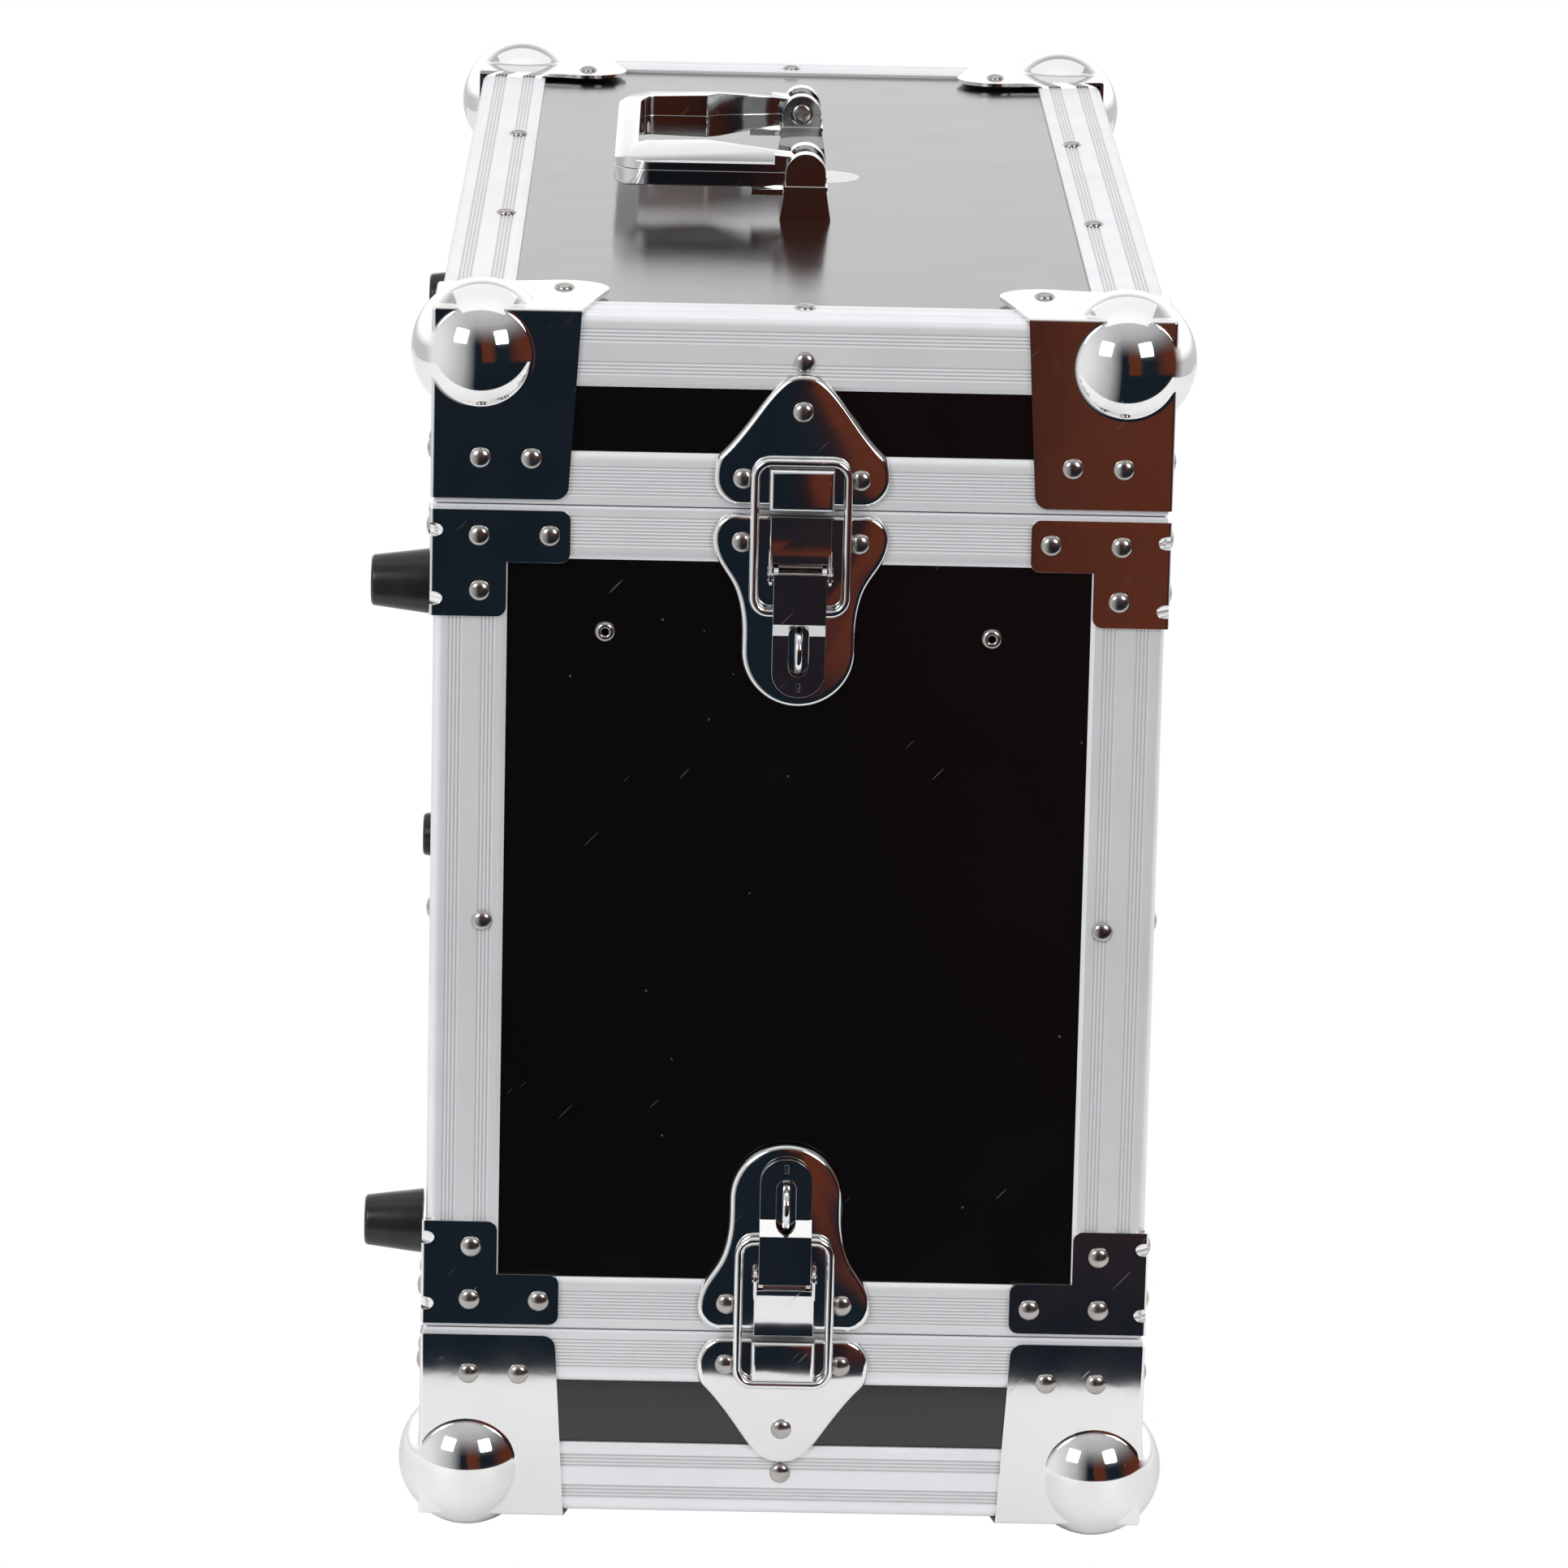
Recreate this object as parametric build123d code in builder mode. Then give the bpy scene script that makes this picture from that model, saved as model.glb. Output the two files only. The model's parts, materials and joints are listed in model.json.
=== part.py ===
from build123d import *
from math import atan2, degrees
import os

# Rack case, sizes in millimetres. It stands on its rear cover with the front cover on top:
# Z runs from the rear of the case to its front, Y along the width of the rack equipment
# and X along the height of it. The rubber feet are on the -X side.

# Rack standard
rack_units = 4
unit_height = 44.45
unit_holes = (6.35, 22.225, 38.1)
rack_hole_spacing = 465.1
rack_hole = 7.0
rail_hole_edge = 7.55
rail_hole_inset = 32.45

# Case
case_width = 218.0
body_depth = 255.0
cover_depth = 58.0
seam_gap = 0.4
board = 9.0
skin = 1.5
edge_radius = 3.0
flange = 22.0
rim_height = 16.3
butt_gap = 0.1
mitre_cut_length = 88.0
rim_inner_leg = 1.2
rim_web = 1.5
cover_rim_web = 5.0
tongue_width = 2.6
tongue_height = 3.2
tongue_inset = 5.0
groove_clearance = 0.4
groove_bottom_gap = 0.6
mitre_gap = 0.2

# Hardware sheet and rivets
plate = 1.2
bend_radius = 1.0
pin_fit = 0.01
rivet_sides = 8
rivet_diameter = 6.3
rivet_taper = 40.0
rivet_height = 1.5
profile_rivet_inset = 15.8
side_rivet_y = 83.0

# Ball corners
ball_radius = 21.0
ball_inset = 13.2
corner_top_width = 43.0
corner_foot_width = 39.6
corner_seam_gap = 1.9
corner_foot_radius = 4.0
ball_blend = 2.0
lobe_centre = 37.0
lobe_radius = 13.5
corner_rivets = ((13.5, -12.3), (28.7, -12.3))

# Braces on the corners of the case body
brace_seam_gap = 1.5
brace_arm_length = 40.6
brace_arm_height = 15.8
brace_leg_width = 21.7
brace_leg_height = 32.4
brace_corner_radius = 3.0
brace_arm_rivets = ((13.5, -9.3), (34.5, -9.1))
brace_leg_rivet = (13.8, -26.0)

# Draw latches. Across and along the seam from the middle of the end face,
# heights out from the aluminium face.
latch_plate = 2.2
latch_plate_edge = 1.8
keeper_reach = 41.0
keeper_start = 1.3
keeper_half_width = 26.2
keeper_widest = 9.7
keeper_flank = ((8.3, 37.0), (15.5, 27.6), (23.0, 18.2))
keeper_tip_rivet = 29.9
latch_rivet_x = 17.4
latch_rivet_y = 9.6
base_start = 1.2
base_half_width = 26.3
base_widest = 8.3
base_flank = ((23.1, -17.8), (19.6, -23.5), (17.5, -31.0))
base_end = 59.7
base_end_radius = 17.0
hook_width = 19.4
hook_start = 0.8
hook_height = 8.0
hook_corner = 1.5
hook_bail_gap = 0.3
hinge_box_width = 18.0
hinge_box_start = 1.0
hinge_box_end = 15.2
hinge_box_height = 6.5
lever_pivot = 19.0
lever_pivot_height = 6.0
lever_pin_diameter = 3.0
lever_pin_clearance = 0.05
ear_inner = 8.4
ear_thickness = 0.9
ear_radius = 3.0
pin_overhang = 0.5
lever_half_width = 7.9
lever_tail_half_width = 8.5
lever_sheet = 1.4
lever_top_height = 8.0
lever_tail_height = 3.6
lever_start = 17.8
lever_step_start = 33.0
lever_step_end = 36.5
lever_end = 56.0
lever_tail_radius = 7.5
key_slot_width = 1.2
key_slot_length = 2.5
key_slot_place = 53.0
bail_wire = 2.7
bail_half_width = 15.2
bail_wire_sides = 8
bail_pivot = 30.3
bail_hook_place = 15.05
bail_eye_radius = 2.1
bail_height = 4.6
bail_corner_radius = 6.0
bail_clearance = 0.1
staple_start = 34.6
staple_end = 48.6
staple_wire = 2.2
staple_top = 13.0
staple_clearance = 1.9
staple_end_clearance = 1.1

# Rack rails
rail_setback = 22.0
rail_depth = 30.0
rail_sheet = 2.0
rail_end_gap = 1.5
rail_rivet_x = 57.7
rail_rivet_drop = 38.3
rail_rivet_shank = 4.0
rail_rivet_fit = 0.1
rail_rivet_bore = 2.2
rail_rivet_tail = 3.0
rail_rivet_tail_diameter = 5.6

# Rubber feet
foot_length = 17.7
foot_base_diameter = 19.5
foot_tip_diameter = 15.4
foot_inset = 13.8
foot_front_drop = 26.5
foot_rear_drop = 29.5
foot_screw_shank = 4.0
foot_screw_head = 8.4
foot_screw_head_height = 2.6
foot_recess_diameter = 9.0
foot_recess_depth = 9.0
foot_screw_bite = 8.0
screw_fit = 0.1

# Carrying handle on the front cover
handle_x = 1.6
handle_y = 0.0
handle_pitch = 126.4
handle_pivot_height = 15.0
handle_length = 61.0
handle_grip = 7.5
handle_arm_width = 12.2
handle_root_width = 17.0
handle_corner_width = 21.0
handle_shoulder_start = 27.5
handle_shoulder_end = 31.5
handle_outer_radius = 12.0
handle_inner_radius = 5.0
handle_top = 6.0
handle_bottom = 8.2
handle_root_top = 3.6
handle_root_bottom = 3.6
handle_parting = -1.0
handle_end_drop = 1.0
handle_edge_top = 1.5
handle_edge_bottom = 5.8
handle_crown_run = 12.2
handle_crown_start = 10.0
eye_radius = 4.4
bracket_length = 26.6
bracket_foot_width = 16.4
bracket_waist_width = 12.9
bracket_waist_height = 10.6
bracket_height = 21.0
bracket_bead = 0.6
bracket_bead_height = 1.3
bracket_slot_clearance = 0.4
bracket_slot_floor = 9.6
handle_pin_diameter = 4.0
handle_pin_clearance = 0.08
handle_pin_head = 7.0
pin_recess_depth = 2.4
pin_wall = 2.0
stop_length = 10.7
stop_sheet = 2.0
stop_top = 8.2
stop_width = 8.0
bracket_bolt_diameter = 5.0
bracket_bolt_spacing = 16.0
bracket_bolt_depth = 7.0
bracket_bolt_head = 9.5
bracket_bolt_head_height = 3.0

# Places worked out from the sizes above
case_length = rack_hole_spacing + 2 * rail_hole_inset
rack_opening = rack_hole_spacing - 2 * rail_hole_edge
ball_reach = ball_radius - ball_inset
ball_seat_radius = (ball_radius**2 - (ball_inset + plate) ** 2) ** 0.5
lobe_reach = lobe_centre + lobe_radius
foot_tip = case_width / 2 + plate + foot_length
centre_x = (foot_tip - case_width / 2 - ball_reach) / 2
rear_face_z = ball_reach
rear_seam_z = rear_face_z + cover_depth
front_seam_z = rear_seam_z + body_depth
front_face_z = front_seam_z + cover_depth
wall = skin + board
rim_width = wall + rim_inner_leg
ends = ((-1, "near"), (1, "far"))
sides = ((-1, "left"), (1, "right"))


def seam_plane(cover):
    """Plane in the middle of a seam, z towards the cover: 1 for the front cover, -1 for the rear."""
    level = front_seam_z if cover > 0 else rear_seam_z
    return Plane(origin=(centre_x, 0, level), x_dir=(1, 0, 0), z_dir=(0, 0, cover))


def end_plane(cover, end):
    """Plane on an end face at a seam: x across the case, y towards the cover, z out of the case."""
    level = front_seam_z if cover > 0 else rear_seam_z
    return Plane(
        origin=(centre_x, end * case_length / 2, level),
        x_dir=(-cover * end, 0, 0),
        z_dir=(0, end, 0),
    )


def corner_plane(cover, x_side, y_side, depth):
    """Plane at an outer corner, x and y running inwards along the two faces, z towards the cover.
    depth is how far past the seam the plane lies, towards the cover."""
    level = (front_seam_z if cover > 0 else rear_seam_z) + cover * depth
    x_dir = (-x_side, 0, 0) if x_side * y_side == cover else (0, -y_side, 0)
    return Plane(
        origin=(centre_x + x_side * case_width / 2, y_side * case_length / 2, level),
        x_dir=x_dir,
        z_dir=(0, 0, cover),
    )


def corner_faces(corner):
    """The two planes on the faces that meet at a corner, each with y along the corner's z.
    Inwards is +x on the first and -x on the second."""
    first = Plane(origin=corner.origin, x_dir=corner.x_dir, z_dir=-corner.y_dir)
    second = Plane(origin=corner.origin, x_dir=-corner.y_dir, z_dir=-corner.x_dir)
    return ((first, 1), (second, -1))


def along_plane(plane, x):
    """Plane across another one at a distance x along it: its x is the first plane's y, its y the
    first plane's z."""
    origin = plane.from_local_coords(Vector(x, 0, 0))
    return Plane(origin=origin, x_dir=plane.y_dir, z_dir=plane.x_dir)


def place(plane, x, y, z=0.0):
    """Location at local coordinates of a plane."""
    origin = plane.from_local_coords(Vector(x, y, z))
    return Plane(origin=origin, x_dir=plane.x_dir, z_dir=plane.z_dir).location


def save(part, name):
    part.label = name
    export_step(part, f"parts/{name}.step")


def mitre_cuts():
    """Saw cuts at 45 degrees that part a ring of profile into four lengths."""
    with BuildSketch() as cuts:
        for x_side, y_side in ((1, 1), (-1, 1), (1, -1), (-1, -1)):
            with Locations((x_side * case_width / 2, y_side * case_length / 2)):
                Rectangle(mitre_cut_length, mitre_gap, rotation=45 * x_side * y_side)
    return cuts.sketch


def make_walls(cover, name):
    """Four ply walls of a cover, the long ones full length and the short ones between them."""
    seam = seam_plane(cover)
    wall_start = cover_rim_web + seam_gap / 2
    wall_height = cover_depth - wall - wall_start
    with BuildPart() as walls:
        with BuildSketch(seam.offset(wall_start)):
            with GridLocations(case_width - 2 * skin - board, 0, 2, 1):
                Rectangle(board, case_length - 2 * skin)
        extrude(amount=wall_height)
        with BuildSketch(seam.offset(wall_start)):
            with GridLocations(0, case_length - 2 * skin - board, 1, 2):
                Rectangle(case_width - 2 * wall - 2 * butt_gap, board)
        extrude(amount=wall_height)
    save(walls.part, name)


def make_board(cover, name, holes=()):
    """The broad ply board of a cover, laid on the walls, with holes for bolts."""
    seam = seam_plane(cover)
    with BuildPart() as panel:
        with BuildSketch(seam.offset(cover_depth - wall)):
            Rectangle(case_width - 2 * skin, case_length - 2 * skin)
            if holes:
                with Locations(*holes):
                    Circle(bracket_bolt_diameter / 2 + screw_fit, mode=Mode.SUBTRACT)
        extrude(amount=board)
    save(panel.part, name)


def make_edge_profiles(cover, name):
    """Aluminium angle round the broad face of a cover, in four mitred lengths."""
    start = seam_plane(cover).offset(cover_depth - flange)
    with BuildPart() as profiles:
        with BuildSketch(start):
            RectangleRounded(case_width, case_length, edge_radius)
        extrude(amount=flange)
        fillet(profiles.faces().sort_by(Axis(start.origin, start.z_dir))[-1].edges(), edge_radius)
        with BuildSketch(start):
            Rectangle(case_width - 2 * skin, case_length - 2 * skin)
        extrude(amount=flange - skin, mode=Mode.SUBTRACT)
        with BuildSketch(start.offset(flange - skin)):
            Rectangle(case_width - 2 * flange, case_length - 2 * flange)
        extrude(amount=skin, mode=Mode.SUBTRACT)
        with BuildSketch(start):
            add(mitre_cuts())
        extrude(amount=flange, mode=Mode.SUBTRACT)
    save(profiles.part, name)


def make_cover_rim(cover, name):
    """Channel over the edge of a cover's walls, with a groove for the tongue of the case."""
    seam = seam_plane(cover)
    start = seam.offset(seam_gap / 2)
    height = rim_height - seam_gap / 2
    groove = tongue_width + 2 * groove_clearance
    with BuildPart() as rim:
        with BuildSketch(start):
            RectangleRounded(case_width, case_length, edge_radius)
            Rectangle(case_width - 2 * rim_width, case_length - 2 * rim_width, mode=Mode.SUBTRACT)
        extrude(amount=height)
        with BuildSketch(start.offset(cover_rim_web)):
            Rectangle(case_width - 2 * skin, case_length - 2 * skin)
            Rectangle(case_width - 2 * wall, case_length - 2 * wall, mode=Mode.SUBTRACT)
        extrude(amount=height - cover_rim_web, mode=Mode.SUBTRACT)
        with BuildSketch(start):
            outer = 2 * tongue_inset - groove
            inner = 2 * tongue_inset + groove
            Rectangle(case_width - outer, case_length - outer)
            Rectangle(case_width - inner, case_length - inner, mode=Mode.SUBTRACT)
        extrude(amount=tongue_height + groove_bottom_gap, mode=Mode.SUBTRACT)
        with BuildSketch(start):
            add(mitre_cuts())
        extrude(amount=height, mode=Mode.SUBTRACT)
    save(rim.part, name)


def make_case_rim(cover, name):
    """Channel over the edge of the case panels, with a tongue that enters the cover."""
    seam = seam_plane(cover)
    start = seam.offset(-rim_height)
    height = rim_height - seam_gap / 2
    with BuildPart() as rim:
        with BuildSketch(start):
            RectangleRounded(case_width, case_length, edge_radius)
            Rectangle(case_width - 2 * rim_width, case_length - 2 * rim_width, mode=Mode.SUBTRACT)
        extrude(amount=height)
        with BuildSketch(start):
            Rectangle(case_width - 2 * skin, case_length - 2 * skin)
            Rectangle(case_width - 2 * wall, case_length - 2 * wall, mode=Mode.SUBTRACT)
        extrude(amount=height - rim_web, mode=Mode.SUBTRACT)
        with BuildSketch(seam.offset(-seam_gap / 2)):
            outer = 2 * tongue_inset - tongue_width
            inner = 2 * tongue_inset + tongue_width
            Rectangle(case_width - outer, case_length - outer)
            Rectangle(case_width - inner, case_length - inner, mode=Mode.SUBTRACT)
        extrude(amount=tongue_height)
        with BuildSketch(start):
            add(mitre_cuts())
        extrude(amount=height + tongue_height, mode=Mode.SUBTRACT)
    save(rim.part, name)


def make_ball_corner(cover, x_side, y_side, name):
    """Pressed steel ball corner: a ball over the vertex and three plates bent from it."""
    corner = corner_plane(cover, x_side, y_side, cover_depth)
    foot = corner_seam_gap - cover_depth
    with BuildPart() as ball_corner:
        for face, inwards in corner_faces(corner):
            with BuildSketch(face):
                with BuildLine():
                    Polyline(
                        (-inwards * plate, plate),
                        (inwards * corner_top_width, plate),
                        (inwards * corner_foot_width, foot),
                        (-inwards * plate, foot),
                        close=True,
                    )
                make_face()
                tip = vertices().sort_by_distance((inwards * corner_foot_width, foot))[0]
                fillet(tip, corner_foot_radius)
            extrude(amount=plate)
        with BuildSketch(corner):
            with BuildLine():
                Polyline(
                    (-plate, -plate),
                    (corner_top_width, -plate),
                    (lobe_reach, lobe_centre),
                    (lobe_centre, lobe_reach),
                    (-plate, corner_top_width),
                    close=True,
                )
            make_face()
            with Locations((lobe_centre, lobe_centre)):
                Circle(lobe_radius)
        extrude(amount=plate)
        vertex = tuple(corner.from_local_coords(Vector(-plate, -plate, plate)))
        fillet(ball_corner.edges().sort_by_distance(vertex)[:3], bend_radius)
        with Locations(corner.from_local_coords(Vector(ball_inset, ball_inset, -ball_inset))):
            Sphere(ball_radius)
        with BuildSketch(corner):
            Rectangle(2 * ball_radius, 2 * ball_radius, align=(Align.MIN, Align.MIN))
        extrude(amount=-2 * ball_radius, mode=Mode.SUBTRACT)
        seats = [
            edge
            for edge in ball_corner.edges().filter_by(GeomType.CIRCLE)
            if abs(edge.radius - ball_seat_radius) < mitre_gap
        ]
        fillet(seats, ball_blend)
    save(ball_corner.part, name)


def brace_outline(inwards):
    """L outline of one leaf of a brace, with its outer corners rounded."""
    top = -brace_seam_gap
    points = (
        (-inwards * plate, top),
        (inwards * brace_arm_length, top),
        (inwards * brace_arm_length, top - brace_arm_height),
        (inwards * brace_leg_width, top - brace_arm_height),
        (inwards * brace_leg_width, top - brace_leg_height),
        (-inwards * plate, top - brace_leg_height),
    )
    with BuildSketch() as outline:
        with BuildLine():
            Polyline(*points, close=True)
        make_face()
        for point in (points[1], points[2], points[4]):
            fillet(outline.vertices().sort_by_distance(point)[0], brace_corner_radius)
    return outline.sketch


def make_braces(cover, name):
    """Four steel braces bent over the corners of the case body beside one seam."""
    with BuildPart() as braces:
        for x_side, _ in sides:
            for y_side, _ in ends:
                for face, inwards in corner_faces(corner_plane(cover, x_side, y_side, 0)):
                    with BuildSketch(face):
                        add(brace_outline(inwards))
                    extrude(amount=plate)
                edge = corner_plane(cover, x_side, y_side, -brace_seam_gap - brace_leg_height / 2)
                bend = tuple(edge.from_local_coords(Vector(-plate, -plate, 0)))
                fillet(braces.edges().sort_by_distance(bend)[0], bend_radius)
        add(foot_drillings(), mode=Mode.SUBTRACT)
    save(braces.part, name)


def rivet_head():
    """Head of a rivet, seated on z = 0: an eight-sided stud for its low dome."""
    with BuildPart() as head:
        with BuildSketch():
            RegularPolygon(rivet_diameter / 2, rivet_sides)
        extrude(amount=rivet_height, taper=rivet_taper)
    return head.part


def make_rivets(places, name):
    """A group of like rivet heads."""
    head = rivet_head()
    with BuildPart() as rivets:
        with Locations(*places):
            add(head)
    save(rivets.part, name)


def cover_rivet_places(cover):
    """Rivets of one cover: on its corners, its keepers and its edge profiles."""
    places = []
    for x_side, _ in sides:
        for y_side, _ in ends:
            foot = corner_plane(cover, x_side, y_side, corner_seam_gap)
            for face, inwards in corner_faces(foot):
                for x, y in corner_rivets:
                    places.append(place(face, inwards * x, -y, plate))
            top = corner_plane(cover, x_side, y_side, cover_depth)
            places.append(place(top, lobe_centre, lobe_centre, plate))
    for end, _ in ends:
        face = end_plane(cover, end)
        places.append(place(face, 0, keeper_tip_rivet, latch_plate))
        for side in (-1, 1):
            places.append(place(face, side * latch_rivet_x, latch_rivet_y, latch_plate))
        places.append(place(face, 0, keeper_reach + rivet_diameter / 2 + seam_gap))
    top = seam_plane(cover).offset(cover_depth)
    for side in (-1, 1):
        places.append(place(top, 0, side * (case_length / 2 - profile_rivet_inset)))
        for end in (-1, 1):
            places.append(
                place(top, side * (case_width / 2 - profile_rivet_inset), end * side_rivet_y)
            )
            face = Plane(
                origin=top.from_local_coords(Vector(side * case_width / 2, end * side_rivet_y, 0)),
                x_dir=-side * top.y_dir,
                z_dir=side * top.x_dir,
            )
            places.append(place(face, 0, -profile_rivet_inset * face.y_dir.dot(top.z_dir)))
    return places


def case_rivet_places():
    """Rivets of the case body: on its braces, its latches and its corner profiles."""
    places = []
    for cover in (1, -1):
        for x_side, _ in sides:
            for y_side, _ in ends:
                for face, inwards in corner_faces(corner_plane(cover, x_side, y_side, 0)):
                    on_feet_side = face.z_dir.X < -0.5
                    leg = () if on_feet_side else (brace_leg_rivet,)
                    for x, y in brace_arm_rivets + leg:
                        places.append(place(face, inwards * x, y, plate))
        for end, _ in ends:
            face = end_plane(cover, end)
            for side in (-1, 1):
                places.append(place(face, side * latch_rivet_x, -latch_rivet_y, latch_plate))
    for x_side, _ in sides:
        for y_side, _ in ends:
            for face, inwards in corner_faces(corner_plane(1, x_side, y_side, 0)):
                places.append(place(face, inwards * profile_rivet_inset, -body_depth / 2))
    return places


def make_keeper(cover, end, name):
    """Keeper of a draw latch on a cover: a bell-shaped plate with a hook block for the bail."""
    face = end_plane(cover, end)
    hook_end = bail_hook_place - bail_wire / 2 - hook_bail_gap
    outward = Axis(face.origin, face.z_dir)
    with BuildPart() as keeper:
        with BuildSketch(face):
            with BuildLine():
                flank = Spline(
                    (0, keeper_reach),
                    *keeper_flank,
                    (keeper_half_width, keeper_widest),
                    tangents=((1, 0), (0, -1)),
                )
                lobe = TangentArc(flank @ 1, (latch_rivet_x, keeper_start), tangent=(0, -1))
                Line(lobe @ 1, (0, keeper_start))
                mirror(about=Plane.YZ)
            make_face()
        extrude(amount=latch_plate)
        fillet(keeper.faces().sort_by(outward)[-1].edges(), latch_plate_edge)
        with BuildSketch(face.offset(latch_plate)):
            with Locations((0, (hook_start + hook_end) / 2)):
                Rectangle(hook_width, hook_end - hook_start)
        extrude(amount=hook_height - latch_plate)
        fillet(keeper.faces().sort_by(outward)[-1].edges(), hook_corner)
    save(keeper.part, name)


def make_latch_base(cover, end, name):
    """Base of a draw latch on the case: its plate, the hinge box and two ears for the lever pin."""
    face = end_plane(cover, end)
    ear_outer = ear_inner + ear_thickness
    with BuildPart() as base:
        with BuildSketch(face):
            with BuildLine():
                lobe = TangentArc(
                    (base_half_width, -base_widest), (latch_rivet_x, -base_start), tangent=(0, 1)
                )
                Line(lobe @ 1, (0, -base_start))
                end_centre = base_end - base_end_radius
                Spline(
                    lobe @ 0,
                    *base_flank,
                    (base_end_radius, -end_centre),
                    tangents=((0, -1), (0, -1)),
                )
                CenterArc((0, -end_centre), base_end_radius, -90, 90)
                mirror(about=Plane.YZ)
            make_face()
        extrude(amount=latch_plate)
        fillet(base.faces().sort_by(Axis(face.origin, face.z_dir))[-1].edges(), latch_plate_edge)
        with BuildSketch(face.offset(latch_plate)):
            with Locations((0, -(hinge_box_start + hinge_box_end) / 2)):
                Rectangle(hinge_box_width, hinge_box_end - hinge_box_start)
        extrude(amount=hinge_box_height - latch_plate)
        for side in (-1, 1):
            start = ear_outer if side > 0 else -ear_inner
            with BuildSketch(along_plane(face, start)):
                with Locations((-lever_pivot, lever_pivot_height)):
                    Circle(ear_radius)
                with BuildLine():
                    Polyline(
                        (-lever_pivot - ear_radius, lever_pivot_height),
                        (-lever_pivot - ear_radius, latch_plate / 2),
                        (-hinge_box_end + ear_radius, latch_plate / 2),
                        (-hinge_box_end + ear_radius, hinge_box_height),
                        (-lever_pivot, lever_pivot_height + ear_radius),
                        close=True,
                    )
                make_face()
                with Locations((-lever_pivot, lever_pivot_height)):
                    Circle(lever_pin_diameter / 2, mode=Mode.SUBTRACT)
            extrude(amount=-ear_thickness)
    save(base.part, name)


def make_lever(cover, end, name):
    """Lever of a draw latch: a stepped strap with two cheeks, a slot for the staple."""
    face = end_plane(cover, end)
    low = lever_tail_height
    high = lever_top_height
    slot_start = staple_start - staple_end_clearance
    slot_end = staple_end + staple_end_clearance
    slot_width = staple_wire + 2 * staple_clearance
    cheek = lever_sheet
    with BuildPart() as lever:
        with BuildSketch(along_plane(face, lever_half_width)):
            with BuildLine():
                Polyline(
                    (-lever_start, high),
                    (-lever_start, high + lever_sheet),
                    (-lever_step_start, high + lever_sheet),
                    (-lever_step_end - lever_sheet / 2, low + lever_sheet),
                    (-lever_end, low + lever_sheet),
                    (-lever_end, low),
                    (-lever_step_end + lever_sheet / 2, low),
                    (-lever_step_start + lever_sheet, high),
                    close=True,
                )
            make_face()
        extrude(amount=-2 * lever_half_width)
        tail = lever.edges().filter_by(Axis(face.origin, face.z_dir)).group_by(
            Axis(face.origin, face.y_dir)
        )[0]
        fillet(tail, lever_tail_radius)
        for side in (-1, 1):
            start = lever_half_width if side > 0 else cheek - lever_half_width
            with BuildSketch(along_plane(face, start)):
                with Locations((-lever_pivot, lever_pivot_height)):
                    Circle(ear_radius)
                with Locations((-bail_pivot, bail_height)):
                    Circle(bail_eye_radius)
                with BuildLine():
                    Polyline(
                        (-lever_pivot, lever_pivot_height - ear_radius),
                        (-lever_start, high),
                        (-lever_step_start + lever_sheet, high),
                        (-bail_pivot - bail_eye_radius, bail_height),
                        (-bail_pivot, bail_height - bail_eye_radius),
                        close=True,
                    )
                make_face()
                with Locations((-lever_pivot, lever_pivot_height)):
                    Circle(lever_pin_diameter / 2 + lever_pin_clearance, mode=Mode.SUBTRACT)
                with Locations((-bail_pivot, bail_height)):
                    Circle(bail_wire / 2 + bail_clearance, mode=Mode.SUBTRACT)
            extrude(amount=-cheek)
        with BuildSketch(face):
            with Locations((0, -(slot_start + slot_end) / 2)):
                SlotOverall(slot_end - slot_start, slot_width, rotation=90)
            with Locations((0, -key_slot_place)):
                Rectangle(key_slot_width, key_slot_length)
        extrude(amount=high + 2 * lever_sheet, mode=Mode.SUBTRACT)
    save(lever.part, name)


def make_bail(cover, end, name):
    """Bail of a draw latch: a closed ring of round wire with rounded corners."""
    face = end_plane(cover, end).offset(bail_height)
    half = bail_half_width - bail_wire / 2
    with BuildPart() as bail:
        with BuildLine(face):
            ring = FilletPolyline(
                (half, bail_hook_place),
                (half, -bail_pivot),
                (-half, -bail_pivot),
                (-half, bail_hook_place),
                radius=bail_corner_radius - bail_wire / 2,
                close=True,
            )
        with BuildSketch(Plane(origin=ring @ 0, z_dir=ring % 0)):
            RegularPolygon(bail_wire / 2, bail_wire_sides)
        sweep()
    save(bail.part, name)


def make_lever_pins(name):
    """Pins on which the four levers turn."""
    reach = ear_inner + ear_thickness + pin_overhang
    with BuildPart() as pins:
        for cover in (1, -1):
            for end, _ in ends:
                with BuildSketch(along_plane(end_plane(cover, end), -reach)):
                    with Locations((-lever_pivot, lever_pivot_height)):
                        Circle(lever_pin_diameter / 2 - pin_fit)
                extrude(amount=2 * reach)
    save(pins.part, name)


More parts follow.
